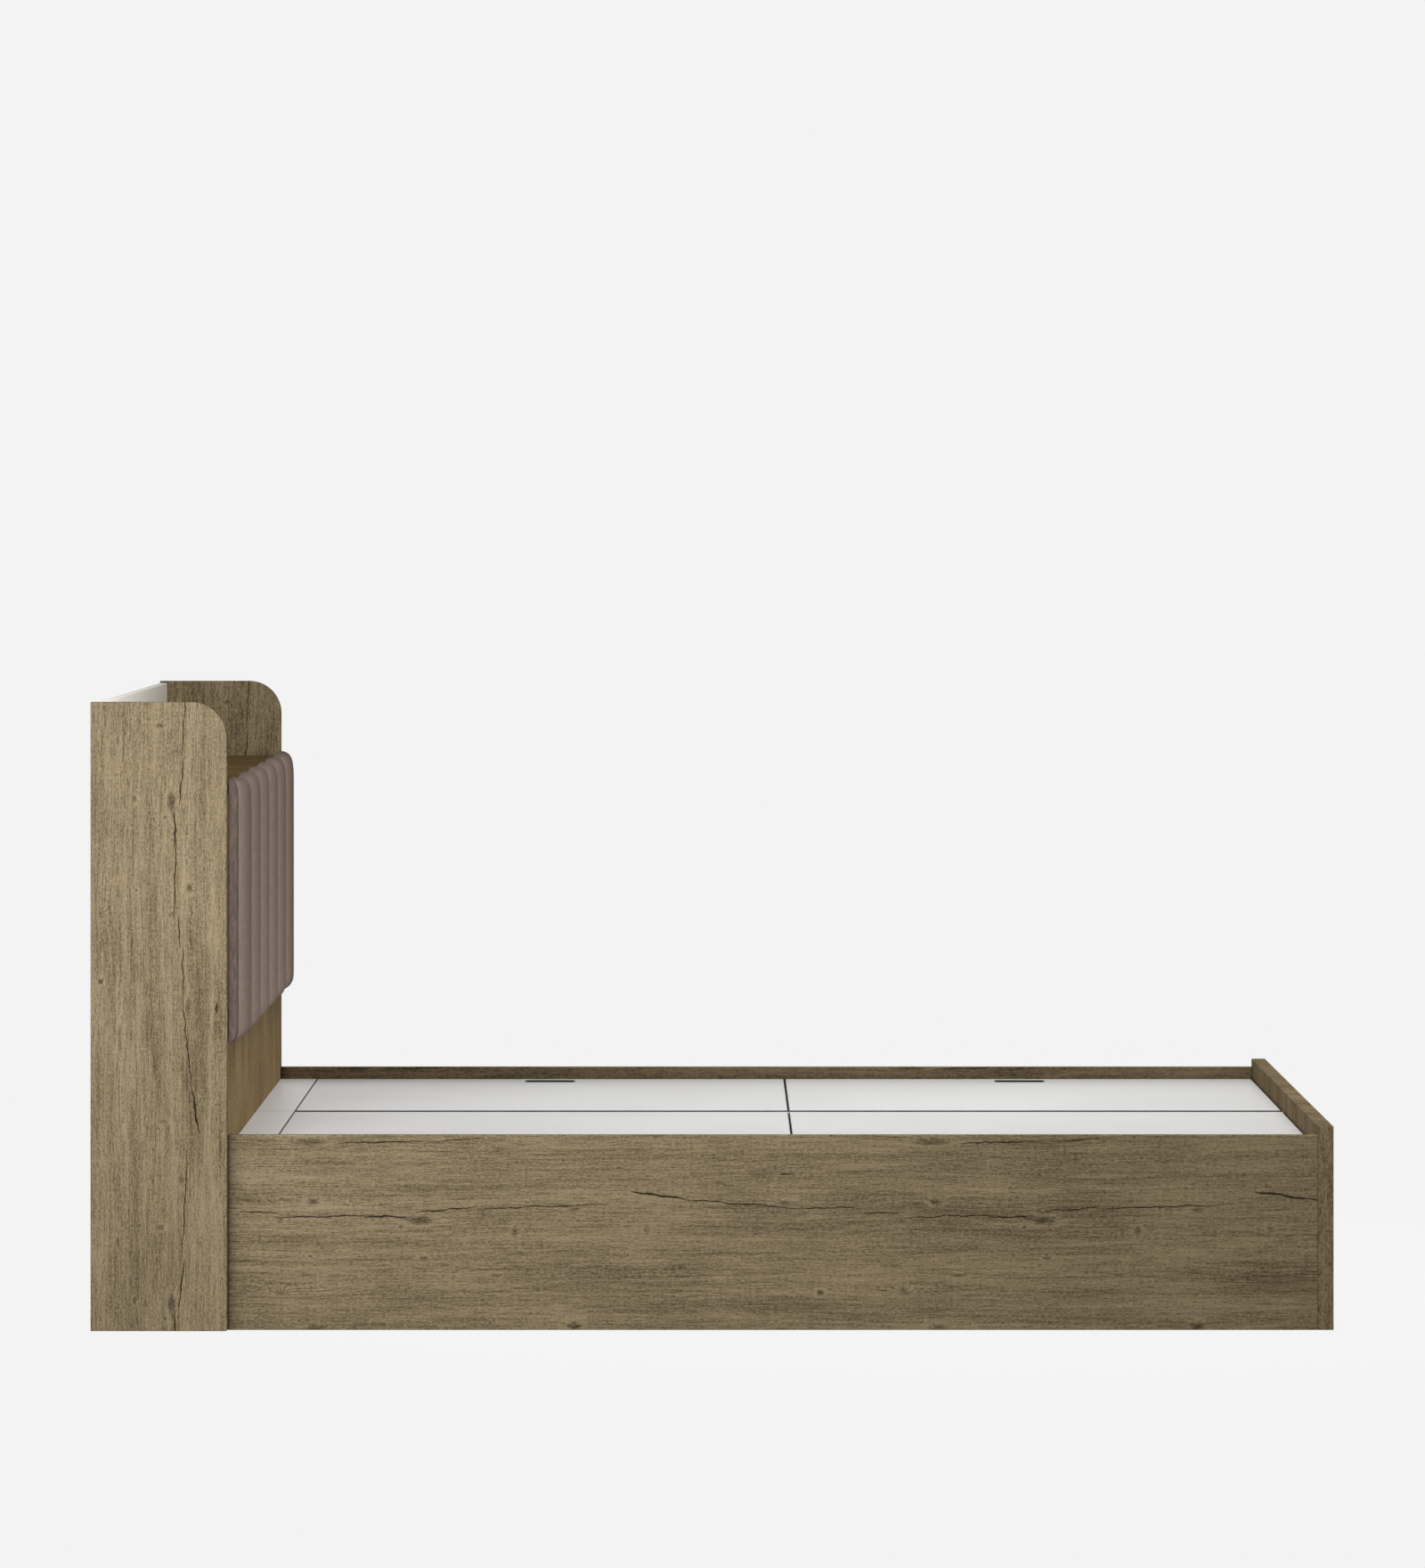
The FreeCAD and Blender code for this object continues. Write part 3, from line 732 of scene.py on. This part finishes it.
def wear(node, material):
    """Gives a CAD node one material."""
    target = frame["nodes"][node].data.materials
    target.clear()
    target.append(material)


def nodes_of(slot):
    """CAD nodes that the record gives a material slot."""
    return [row["node"] for row in frame["record"]["subparts"] if row["material_slot"] == slot]


def new_object(name, data):
    """Object in the scene that shows a mesh, lamp or camera."""
    made = bpy.data.objects.new(name, data)
    bpy.context.scene.collection.objects.link(made)
    return made


def new_piece(name, points, faces, material, body):
    """Mesh object at the origin that rides on a body."""
    mesh = bpy.data.meshes.new(name)
    mesh.from_pydata(points.tolist(), [], faces.tolist())
    mesh.update()
    mesh.materials.append(material)
    mesh.polygons.foreach_set("use_smooth", np.ones(len(mesh.polygons), bool))
    piece = new_object(name, mesh)
    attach(piece, body)
    return piece


def closed_grid_faces(rows, columns):
    """Quads of a grid of points, row by row, whose last column joins its first."""
    row = np.arange(rows - 1)[:, None] * columns
    start = np.arange(columns)[None, :]
    after = (start + 1) % columns
    corners = (row + start, row + after, row + columns + after, row + columns + start)
    return np.stack([corner.ravel() for corner in corners], axis=1)


class BED_OT_stage(bpy.types.Operator):
    """Soft sky, floor, lamps and camera."""

    bl_idname = "bed.stage"
    bl_label = "Studio"

    def execute(self, context):
        settings = context.scene.bed_stage
        nodes = frame["nodes"]
        context.scene.view_settings.view_transform = "Standard"
        self.sky(context, settings)
        floor = self.floor(settings)
        lamps = {}
        for name, target in LAMP_TARGETS.items():
            power, size, spot = [getattr(settings, name + part) for part in ("_power", "_size", "_place")]
            lamps[name] = self.lamp(name + "_lamp", power, size, spot, target)
        for name in ("key", "fill", "tray"):
            lamps[name].data.color = getattr(settings, name + "_tint")
        lamps["top"].data.spread = settings.top_spread
        shaded = [nodes["right_rail"], floor]
        self.aim(lamps["fill"], shaded, "EXCLUDE")
        self.aim(lamps["key"], shaded, "EXCLUDE")
        self.aim(lamps["graze"], [nodes["headboard_front_panel"], nodes["filler_strip"]], "INCLUDE")
        self.aim(lamps["tray"], [nodes["headboard_back"]], "INCLUDE")
        for name, spot, boards in SIDE_LAMPS:
            side = self.lamp(name, settings.side_power, settings.side_size, spot, SIDE_TARGET)
            self.aim(side, [nodes[board] for board in boards], "INCLUDE")
        self.camera(context, settings)
        return {"FINISHED"}

    @staticmethod
    def chosen(tree, lit, seen):
        """Shader for gathered light, and another where a camera, glossy or transmission ray looks."""
        path = tree.nodes.new("ShaderNodeLightPath").outputs
        looks = math_of(tree, "MAXIMUM", path["Is Camera Ray"], path["Is Glossy Ray"])
        looks = math_of(tree, "MAXIMUM", looks, path["Is Transmission Ray"])
        return place(tree, "ShaderNodeMixShader", {0: looks, 1: lit, 2: seen}).outputs[0]

    def sky(self, context, settings):
        """Soft light from all round behind the pale background."""
        world = bpy.data.worlds.new("Soft sky")
        tree = emptied(world)
        light = place(tree, "ShaderNodeBackground", {
            "Color": colour(settings.sky), "Strength": settings.sky_strength,
        })
        pale = place(tree, "ShaderNodeBackground", {"Color": colour(settings.background)})
        chosen = self.chosen(tree, light.outputs[0], pale.outputs[0])
        place(tree, "ShaderNodeOutputWorld", {"Surface": chosen})
        context.scene.world = world

    def floor(self, settings):
        """Pale floor. Its glow makes up for the share with the shadow, so it meets the background evenly."""
        corners = FLOOR_REACH * np.array([(-1, -1, 0), (1, -1, 0), (1, 1, 0), (-1, 1, 0)])
        mesh = bpy.data.meshes.new("studio_floor")
        mesh.from_pydata(corners.tolist(), [], [(0, 1, 2, 3)])
        floor = new_object("studio_floor", mesh)
        material, tree = new_material("Studio floor")
        thrown = place(tree, "ShaderNodeBsdfDiffuse", {"Color": colour(settings.ground)})
        share = settings.shadow_share
        pale_level = settings.background[0]
        level = (pale_level - share * settings.sky_strength) / (pale_level * (1 - share))
        glow = place(tree, "ShaderNodeEmission", {"Color": colour(settings.background), "Strength": level})
        shaded = place(tree, "ShaderNodeBsdfDiffuse", {"Color": (1.0, 1.0, 1.0, 1.0)})
        pale = place(tree, "ShaderNodeMixShader", {0: share, 1: glow.outputs[0], 2: shaded.outputs[0]})
        chosen = self.chosen(tree, thrown.outputs[0], pale.outputs[0])
        place(tree, "ShaderNodeOutputMaterial", {"Surface": chosen})
        mesh.materials.append(material)
        return floor

    @staticmethod
    def lamp(name, power, size, spot, target):
        """Square lamp that faces a target. It lights the bed and shows in no view or reflection."""
        data = bpy.data.lights.new(name, "AREA")
        data.energy = power
        data.size = size
        lamp = new_object(name, data)
        lamp.location = spot
        lamp.rotation_mode = "QUATERNION"
        lamp.rotation_quaternion = (Vector(target) - Vector(spot)).to_track_quat("-Z", "Y")
        lamp.visible_camera = False
        lamp.visible_glossy = False
        return lamp

    @staticmethod
    def aim(lamp, things, state):
        """Lets a lamp light only these things, or all but these."""
        lit = bpy.data.collections.new(lamp.name + " things")
        for thing in things:
            lit.objects.link(thing)
        for row in lit.collection_objects:
            row.light_linking.link_state = state
        lamp.light_linking.receiver_collection = lit

    @staticmethod
    def camera(context, settings):
        """Level camera square to the near side. Its shift puts the horizon on the picture row that is set."""
        near_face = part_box("headboard_left_side")[0][1]
        data = bpy.data.cameras.new("Studio camera")
        data.sensor_width = SENSOR_WIDTH
        data.lens = settings.distance / settings.near_scale / settings.picture_rows * data.sensor_width
        data.shift_y = settings.horizon_row / settings.picture_rows - 0.5
        data.clip_end = CLIP_END
        camera = new_object("studio_camera", data)
        camera.location = (0.0, near_face - settings.distance, settings.height)
        camera.rotation_euler = (math.radians(90), 0.0, 0.0)
        context.scene.camera = camera


class BED_OT_oak(bpy.types.Operator):
    """Oak laminate on the headboard, rails and footboard, one decor with its grain along each board."""

    bl_idname = "bed.oak"
    bl_label = "Oak boards"

    def execute(self, context):
        settings = context.scene.bed_oak
        rail_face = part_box("left_rail")[0][1]
        side_low, side_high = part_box("headboard_left_side")
        foot_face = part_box("footboard")[0][0]
        # The rails get painted shade beside the headboard's side, which stands proud of them, and a dark
        # joint line at the footboard
        rails = oak_material(
            "Oak rails", settings, axes=(0, 2, 1), scale=(1.0, 1.0), shift=(0.795, 0.0, rail_face),
            mirrored=True, joints=((side_high[0], *PAINTED_EDGE_SHADE), (foot_face, *FOOT_LINE)),
        )
        sides = oak_material(
            "Oak headboard sides", settings, axes=(2, 0, 1), scale=(UPRIGHT, 1.03),
            shift=(-0.936, 1.2137, side_low[1]), mirrored=True,
        )
        panel = oak_material(
            "Oak front panel", settings, axes=(2, 1, 0), scale=(UPRIGHT, 1.0), shift=(0.31, 0.40, 0.8835),
            tint_and_shade=(1.06, 0.98, 0.88),
        )
        # The shelf's darker, more golden colours: partly a tone of its own, partly painted shade of the tray
        # that it sits in
        shelf = oak_material(
            "Oak shelf", settings, axes=(0, 1, 2), scale=(1.0, 1.0), shift=(0.20, 0.15, -0.992),
            tint_and_shade=(0.80, 0.70, 0.56),
        )
        # Painted shade: the footboard's colours are darker all over, and darker still on its inner face,
        # which lies in shade
        foot = oak_material(
            "Oak footboard", settings, axes=(2, 1, 0), scale=(UPRIGHT, 1.0), shift=(0.64, 0.11, -1.1035),
            tint_and_shade=(0.89, 0.87, 0.85), joints=((foot_face, *PAINTED_FOOT_SHADE),),
        )
        wear("left_rail", rails)
        wear("right_rail", rails)
        wear("headboard_left_side", sides)
        wear("headboard_right_side", sides)
        wear("headboard_front_panel", panel)
        wear("headboard_shelf", shelf)
        wear("footboard", foot)
        return {"FINISHED"}


class BED_OT_white(bpy.types.Operator):
    """Smooth white laminate on the lids, filler strip and inner boards. Lids and strip have painted shade at
    their gaps.
    """

    bl_idname = "bed.white"
    bl_label = "White boards"

    def execute(self, context):
        settings = context.scene.bed_white
        board = self.laminate("White laminate", settings, False)
        lid = self.laminate("White lids", settings, True)
        for node in nodes_of("white_laminate"):
            wear(node, lid if node.startswith("lid_") or node == "filler_strip" else board)
        return {"FINISHED"}

    def laminate(self, name, settings, gap_shaded):
        """White laminate, with or without painted shade as dark bands at the gaps."""
        material, tree = new_material(name)
        coat = mottle_of(tree, settings.face, settings.speck, cloud=2.3, speckle=900.0)
        face = coat["Color"]
        # Painted shade: dark bands stand in for the shade in the gaps beside the lids and strip and in the
        # finger slots
        if gap_shaded:
            face = mix_of(tree, self.edges(tree, settings), face, colour(settings.edge))
        look = {"Base Color": face, "Roughness": ramp_of(tree, coat["Mask"], to_low=0.38, to_high=0.45)}
        surface(tree, look, coat["Height"], distance=0.0002, strength=0.06)
        return material

    def edges(self, tree, settings):
        """Painted shade at the gaps: one on the ends of the lids and filler strip, the hinge sides and the
        slots, and zero elsewhere.

        It is one where the least distance to these is within the band. The slots of the left lids are those
        of the right ones mirrored.
        """
        parts = parts_of(tree, object_place(tree))
        across = math_of(tree, "ABSOLUTE", parts[1])
        hinge_side = min(abs(corner[1]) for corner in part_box("lid_head_right"))
        least = gap_of(tree, across, hinge_side)
        ends = [corner[0] for node in ("lid_head_right", "lid_foot_right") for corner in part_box(node)]
        for end in [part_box("filler_strip")[1][0]] + ends:
            least = math_of(tree, "MINIMUM", least, gap_of(tree, parts[0], end))
        for opening in frame["record"]["physics"]["openings"]:
            if opening["name"] in ("finger_slot_head_right", "finger_slot_foot_right"):
                wall = self.slot_wall(tree, settings, opening["box_m"], (parts[0], across))
                least = math_of(tree, "MINIMUM", least, wall)
        return ramp_of(tree, least, settings.band, GAP_SHADE_FADE * settings.band, 1.0, 0.0)

    @staticmethod
    def slot_wall(tree, settings, box, spot):
        """Distance to the wall of a finger slot and its lip of painted shade, less than zero inside.

        It is the length of what lies past the straight sides of the rounded rectangle, less the corner's
        radius. The lip of painted shade makes the rectangle wider on the hinge's side.
        """
        low, high = np.array(box)
        middle = (low + high) / 2
        straight = (high - low) / 2 + settings.slot_inset - settings.slot_radius
        middle[1] -= settings.painted_slot_lip / 2
        straight[1] += settings.painted_slot_lip / 2
        past = []
        for value, centre, reach in zip(spot, middle, straight):
            beyond = math_of(tree, "SUBTRACT", gap_of(tree, value, centre), reach)
            past.append(math_of(tree, "MAXIMUM", beyond, 0.0))
        length = vector_of(tree, "LENGTH", vector_from(tree, *past), output="Value")
        return math_of(tree, "SUBTRACT", length, settings.slot_radius)


class BED_OT_wood(bpy.types.Operator):
    """Raw wood: softwood battens, the pad's plywood board and the beech dowels."""

    bl_idname = "bed.wood"
    bl_label = "Raw wood"

    def execute(self, context):
        settings = context.scene.bed_wood
        finishes = (
            ("batten_wood", settings.batten_light, settings.batten_dark, 1.0),
            ("plywood", settings.plywood_light, settings.plywood_dark, 0.7),
            ("dowel_wood", settings.dowel_light, settings.dowel_dark, 3.0),
        )
        for slot, light, dark, fineness in finishes:
            made = {}
            for node in nodes_of(slot):
                low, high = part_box(node)
                axis = 0 if high[0] - low[0] > high[1] - low[1] else 1
                if axis not in made:
                    made[axis] = self.finish(slot, light, dark, fineness, axis)
                wear(node, made[axis])
        return {"FINISHED"}

    @staticmethod
    def finish(slot, light, dark, fineness, axis):
        """Raw wood whose grain runs along X or along Y."""
        material, tree = new_material("%s along %s" % (slot.replace("_", " "), "XY"[axis]))
        parts = parts_of(tree, object_place(tree))
        grain = filled_group(tree, shared_group("Raw grain", grain_group), {
            "Place": vector_from(tree, parts[axis], parts[1 - axis], parts[2]), "Light": colour(light),
            "Dark": colour(dark), "Fineness": fineness,
        })
        look = {"Base Color": grain["Color"], "Roughness": 0.7}
        surface(tree, look, grain["Height"], distance=0.0004, strength=0.3)
        return material


class BED_OT_metal(bpy.types.Operator):
    """Dark coat on the hinges and zinc plate on the pins, brackets and bolts."""

    bl_idname = "bed.metal"
    bl_label = "Metal"

    def execute(self, context):
        settings = context.scene.bed_metal
        coat = {"Metallic": 0.0, "Specular IOR Level": 0.0}
        plate = {"Metallic": 0.95}
        finishes = {
            "hinge_steel": self.finish(
                "Hinge coat", settings.hinge, dull=0.7, rough=(0.55, 0.70), cloud=500.0, more=coat
            ),
            "zinc_steel": self.finish(
                "Zinc plate", settings.zinc, dull=0.78, rough=(0.28, 0.42), cloud=160.0, more=plate
            ),
        }
        for slot, material in finishes.items():
            for node in nodes_of(slot):
                wear(node, material)
        return {"FINISHED"}

    @staticmethod
    def finish(name, base, dull, rough, cloud, more):
        """Metal with a cloudy coat: the base colour, the same colour dulled, and two roughnesses."""
        material, tree = new_material(name)
        coat = mottle_of(tree, base, [value * dull for value in base], cloud, speckle=2600.0)
        roughness = ramp_of(tree, coat["Mask"], 0.0, 1.0, *rough)
        look = {"Base Color": coat["Color"], "Roughness": roughness, **more}
        surface(tree, look, coat["Height"], distance=0.0001, strength=0.15)
        return material


class BED_OT_pad(bpy.types.Operator):
    """Channelled pad: sewn seams, filled channels and a napped cover."""

    bl_idname = "bed.pad"
    bl_label = "Pad"

    def execute(self, context):
        settings = context.scene.bed_pad
        points, faces, seam, held = self.shape(settings)
        pad = new_piece("channelled_pad", points, faces, self.cover(settings), ROOT_BODY)
        self.fill(context, pad, held, settings)
        near = pad.data.attributes.new("seam", "FLOAT", "POINT")
        near.data.foreach_set("value", seam.astype(np.float32))
        smooth = pad.modifiers.new("Smooth cover", "SUBSURF")
        smooth.levels = 1
        smooth.render_levels = 1
        bpy.data.objects["graze_lamp"].light_linking.receiver_collection.objects.link(pad)
        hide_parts("pad_cushion")
        return {"FINISHED"}

    @staticmethod
    def section(settings, half):
        """Level section of the pad: places across, depths, nearness to a seam, held cover and seam pull.

        Each end goes straight out from the back and round an arc. Each channel falls from its crown to
        both seams as a power of the distance, with its points closer together at the seams. The back closes
        the loop. The nearness is minus one on the two ends. The pull is a power of the distance from the
        middle of a channel, and zero on the outer half of each outer channel.
        """
        end = settings.end_depth
        radius = settings.corner
        rise = np.linspace(0.0, end - radius, END_POINTS)
        turn = np.linspace(0.0, np.pi / 2 - settings.lean, END_POINTS)[1:]
        end_y = np.concatenate([np.zeros_like(rise), radius * (1 - np.cos(turn))])
        end_x = np.concatenate([rise, end - radius + radius * np.sin(turn)])
        share = 0.5 - 0.5 * np.cos(np.pi * np.linspace(0.0, 1.0, CHANNEL_POINTS))
        seams = np.linspace(-half, half, settings.channels + 1)
        seams[0] += end_y[-1]
        seams[-1] -= end_y[-1]
        depths = np.full(settings.channels + 1, settings.seam_depth)
        depths[[0, -1]] = end_x[-1]
        crown = 1 - np.abs(2 * share - 1) ** CROWN_POWER
        foot = depths[:-1, None] + np.diff(depths)[:, None] * (share > 0.5)
        channel_y = seams[:-1, None] + np.diff(seams)[:, None] * share
        channel_x = foot + (settings.crown_depth - foot) * crown
        back_y = np.linspace(half, -half, BACK_POINTS)[1:-1]
        y = np.concatenate([-half + end_y[:-1], channel_y[:, :-1].ravel(), (half - end_y)[::-1], back_y])
        x = np.concatenate([end_x[:-1], channel_x[:, :-1].ravel(), end_x[::-1], np.zeros_like(back_y)])
        distance = np.abs(y[:, None] - seams[None, 1:-1]).min(axis=1)
        front = x > TINY
        near = np.where(front, np.exp(-((distance / SEAM_SPREAD) ** 2)), 0.0)
        near = np.where(np.abs(y) > half - CORNER_SHARE * radius, -1.0, near)
        held = (~front) | (distance < TINY) | (np.abs(y) > half - end_y[-1] - TINY)
        pitch = 2 * half / settings.channels
        pulled = np.abs(np.mod((y + half) / pitch, 1.0) * 2 - 1) ** PULL_POWER
        pulled = np.where(np.abs(y) > half - pitch / 2, 0.0, pulled)
        return y, x, near, held, pulled

    def shape(self, settings):
        """Pad's points and faces, nearness to a seam and held cover.

        The points are the level section, whose depth is scaled by a share at each height. The share rises at
        the toe and falls at the brow as a superellipse. Both close on the back plane.
        """
        low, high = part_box("pad_cushion")
        half = (high[1] - low[1]) / 2
        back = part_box("headboard_front_panel")[1][0] + PAD_GAP
        y, x, near, held, pulled = self.section(settings, half)
        climb = 1 - np.linspace(1.0, 0.0, ROUND_POINTS) ** SPACING_POWER
        toe_z = low[2] + settings.toe * (1 - climb[::-1])
        toe_share = (1 - climb[::-1] ** TOE_POWER) ** (1 / TOE_POWER)
        brow_z = high[2] - settings.brow * (1 - climb)
        brow_share = (1 - climb ** BROW_POWER) ** (1 / BROW_POWER)
        middle_z = np.linspace(toe_z[-1], brow_z[0], MIDDLE_POINTS)[1:-1]
        height = np.concatenate([toe_z, middle_z, brow_z])
        share = np.concatenate([toe_share, np.ones_like(middle_z), brow_share])
        draw = 1 - settings.draw / half * (1 - share)
        rise = ((height - low[2]) / (high[2] - low[2]))[:, None]
        pull = settings.scallop * pulled[None, :] * (1 - 2 * rise)
        points = np.stack([
            back + share[:, None] * x[None, :],
            draw[:, None] * y[None, :],
            height[:, None] + pull,
        ], axis=-1)
        fixed = (share < TINY)[:, None] | held[None, :]
        seam = np.broadcast_to(near[None, :], fixed.shape)
        return points.reshape(-1, 3), closed_grid_faces(*fixed.shape), seam.ravel(), fixed.ravel()

    @staticmethod
    def fill(context, pad, held, settings):
        """Swells the cover between its seams with a short cloth run, and caps how far it moves."""
        count = len(pad.data.vertices)
        start = np.empty(count * 3)
        pad.data.vertices.foreach_get("co", start)
        group = pad.vertex_groups.new(name="Sewn")
        group.add(np.flatnonzero(held).tolist(), 1.0, "REPLACE")
        cloth = pad.modifiers.new("Filling", "CLOTH")
        cloth.settings.quality = 6
        cloth.settings.mass = 0.3
        cloth.settings.tension_stiffness = 25.0
        cloth.settings.compression_stiffness = 25.0
        cloth.settings.bending_stiffness = 0.8
        cloth.settings.use_pressure = True
        cloth.settings.uniform_pressure_force = settings.pressure
        cloth.settings.effector_weights.gravity = 0.0
        cloth.settings.vertex_group_mass = group.name
        cloth.point_cache.frame_start = 1
        cloth.point_cache.frame_end = settings.steps
        for step in range(1, settings.steps + 1):
            context.scene.frame_set(step)
        solved = pad.evaluated_get(context.evaluated_depsgraph_get())
        if len(solved.data.vertices) != count:
            raise RuntimeError("the cloth run changed the pad's points")
        end = np.empty(count * 3)
        solved.data.vertices.foreach_get("co", end)
        pad.modifiers.remove(cloth)
        pad.vertex_groups.remove(group)
        context.scene.frame_set(1)
        move = (end - start).reshape(-1, 3)
        length = np.linalg.norm(move, axis=1, keepdims=True)
        move *= np.minimum(1.0, settings.swell / np.maximum(length, TINY))
        pad.data.vertices.foreach_set("co", start + move.ravel())
        pad.data.update()

    @staticmethod
    def cover(settings):
        """Taupe cover with a short nap: cloudy tone, fine fibres, and painted shade along the seams and in
        the gathered folds of the ends.
        """
        gathered_range = (-0.8, -0.1)
        fold_ramp = (0.30, 0.70, 0.97, 0.83)
        plain_share = 0.65
        seam_shade_share = 0.75
        painted_shade_share = 0.26
        fold_height = 6.0
        material, tree = new_material("Pad cover")
        nap = mottle_of(tree, settings.cover, settings.shade, cloud=55.0, speckle=1500.0)
        faint = mix_of(tree, plain_share, nap["Color"], colour(settings.cover))
        # Painted shade: the dark colour that the seams' creases and the gathered folds of the ends mix toward
        dark = colour([value * painted_shade_share for value in settings.shade])
        seam = place(tree, "ShaderNodeAttribute", attribute_name="seam").outputs["Fac"]
        gathered = ramp_of(tree, seam, *gathered_range, 1.0, 0.0)
        folds = noise_of(
            tree, object_place(tree), (110.0, 110.0, 26.0), detail=3.0, roughness=0.6, distortion=1.6
        )
        # Painted shade in the folds of the gathered ends, and beside the seams
        painted_fold_shade = math_of(tree, "MULTIPLY", gathered, ramp_of(tree, folds, *fold_ramp))
        painted_shade = math_of(tree, "MAXIMUM", math_of(tree, "MULTIPLY", seam, seam_shade_share), painted_fold_shade)
        look = {"Base Color": mix_of(tree, painted_shade, faint, dark), "Roughness": 0.78, "Specular IOR Level": 0.0}
        height = math_of(tree, "MULTIPLY", gathered, folds)
        height = math_of(tree, "MULTIPLY_ADD", height, fold_height, nap["Height"])
        surface(tree, look, height, distance=0.0004, strength=0.35)
        return material


class BED_OT_screws(bpy.types.Operator):
    """Pan-head screws of the brackets, ledgers and centre cleats."""

    bl_idname = "bed.screws"
    bl_label = "Screws"

    def execute(self, context):
        points, faces = self.head(context.scene.bed_metal)
        rows = np.array(self.bracket_seats() + self.ledger_seats(), float)
        seats = rows[:, :1]
        normals = rows[:, 1:]
        up = np.array((0.0, 0.0, 1.0))
        third = np.cross(normals, up)
        turned = points[:, :1] * up + points[:, 1:2] * third + points[:, 2:] * normals
        first = len(points) * np.arange(len(rows))[:, None, None]
        new_piece(
            "seat_screws", (turned + seats).reshape(-1, 3), (faces + first).reshape(-1, 4),
            frame["nodes"]["corner_brackets"].data.materials[0], ROOT_BODY,
        )
        return {"FINISHED"}

    @staticmethod
    def head(settings):
        """Screw head as a grid of rings: a dome with a cross-shaped recess, closed at its middle.

        The height is the dome's, less the recess where the point lies in either bar of the cross.
        """
        ring = HEAD_RINGS[:, :1]
        lift = HEAD_RINGS[:, 1:]
        turn = np.linspace(0.0, 2 * np.pi, HEAD_TURNS, endpoint=False)
        u = settings.head_radius * ring * np.cos(turn)
        v = settings.head_radius * ring * np.sin(turn)
        bar = RECESS_BAR * settings.head_radius
        cross = (ring < RECESS_REACH) & ((np.abs(u) < bar) | (np.abs(v) < bar))
        w = settings.head_height * (lift - RECESS_DEPTH * cross)
        points = np.stack([u, v, w], axis=-1).reshape(-1, 3)
        return points, closed_grid_faces(*w.shape)

    @staticmethod
    def bracket_seats():
        """Two screws in each leg of a corner angle and one in each leg of a partition angle, with normals."""
        rail = abs(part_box("left_rail")[1][1])
        partition = abs(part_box("centre_partition")[1][1])
        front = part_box("headboard_front_panel")[1][0]
        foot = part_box("footboard")[0][0]
        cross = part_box("cross_partition")[0][0]
        sites = {
            "corner_brackets": ((front, 1, rail, -1), (foot, -1, rail, -1)),
            "partition_brackets": ((front, 1, partition, 1), (foot, -1, partition, 1), (cross, -1, rail, -1)),
        }
        seats = []
        for node, reach, gauge, shares in ANGLE_SCREWS:
            low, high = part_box(node)
            for hand in (-1, 1):
                for x, toward, wall, inward in sites[node]:
                    y = hand * wall
                    side = hand * inward
                    for z in [low[2] + (high[2] - low[2]) * share for share in shares]:
                        seats.append(((x + toward * reach, y + side * gauge, z), (0, side, 0)))
                        seats.append(((x + toward * gauge, y + side * reach, z), (toward, 0, 0)))
        return seats

    @staticmethod
    def ledger_seats():
        """Screws along the open face of each rail, head and foot ledger and centre cleat, with normals."""
        seats = []
        for node in nodes_of("batten_wood"):
            kind = "_".join(node.split("_")[:2])
            if kind not in LEDGER_SCREWS:
                continue
            run, face, way, shares = LEDGER_SCREWS[kind]
            low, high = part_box(node)
            middle = (low + high) / 2
            normal = np.zeros(3)
            normal[face] = way * np.sign(middle[face])
            for share in shares:
                seat = np.array(middle)
                seat[face] = high[face] if normal[face] > 0 else low[face]
                seat[run] = low[run] + (high[run] - low[run]) * share
                seats.append((seat, normal))
        return seats


class BED_PT_finish(bpy.types.Panel):
    """The steps that dress the bed, in order."""

    bl_idname = "BED_PT_finish"
    bl_label = "Storage bed"
    bl_space_type = "VIEW_3D"
    bl_region_type = "UI"
    bl_category = "Bed"

    def draw(self, context):
        """Lists the steps as buttons."""
        for step in STEPS:
            self.layout.operator(step.bl_idname)


STEPS = (BED_OT_stage, BED_OT_oak, BED_OT_white, BED_OT_wood, BED_OT_metal, BED_OT_pad, BED_OT_screws)
GROUPS = {
    "bed_stage": BED_PG_stage,
    "bed_oak": BED_PG_oak,
    "bed_white": BED_PG_white,
    "bed_pad": BED_PG_pad,
    "bed_metal": BED_PG_metal,
    "bed_wood": BED_PG_wood,
}


def register():
    """Registers the settings, the steps and the panel."""
    for name, group in GROUPS.items():
        bpy.utils.register_class(group)
        setattr(bpy.types.Scene, name, PointerProperty(type=group))
    for step in STEPS:
        bpy.utils.register_class(step)
    bpy.utils.register_class(BED_PT_finish)


def unregister():
    """Takes back what register did, in reverse."""
    bpy.utils.unregister_class(BED_PT_finish)
    for step in reversed(STEPS):
        bpy.utils.unregister_class(step)
    for name, group in reversed(GROUPS.items()):
        delattr(bpy.types.Scene, name)
        bpy.utils.unregister_class(group)


def main():
    """Dresses the bed step by step."""
    register()
    bpy.ops.bed.stage()
    bpy.ops.bed.oak()
    bpy.ops.bed.white()
    bpy.ops.bed.wood()
    bpy.ops.bed.metal()
    bpy.ops.bed.pad()
    bpy.ops.bed.screws()


if __name__ == "__main__":
    main()
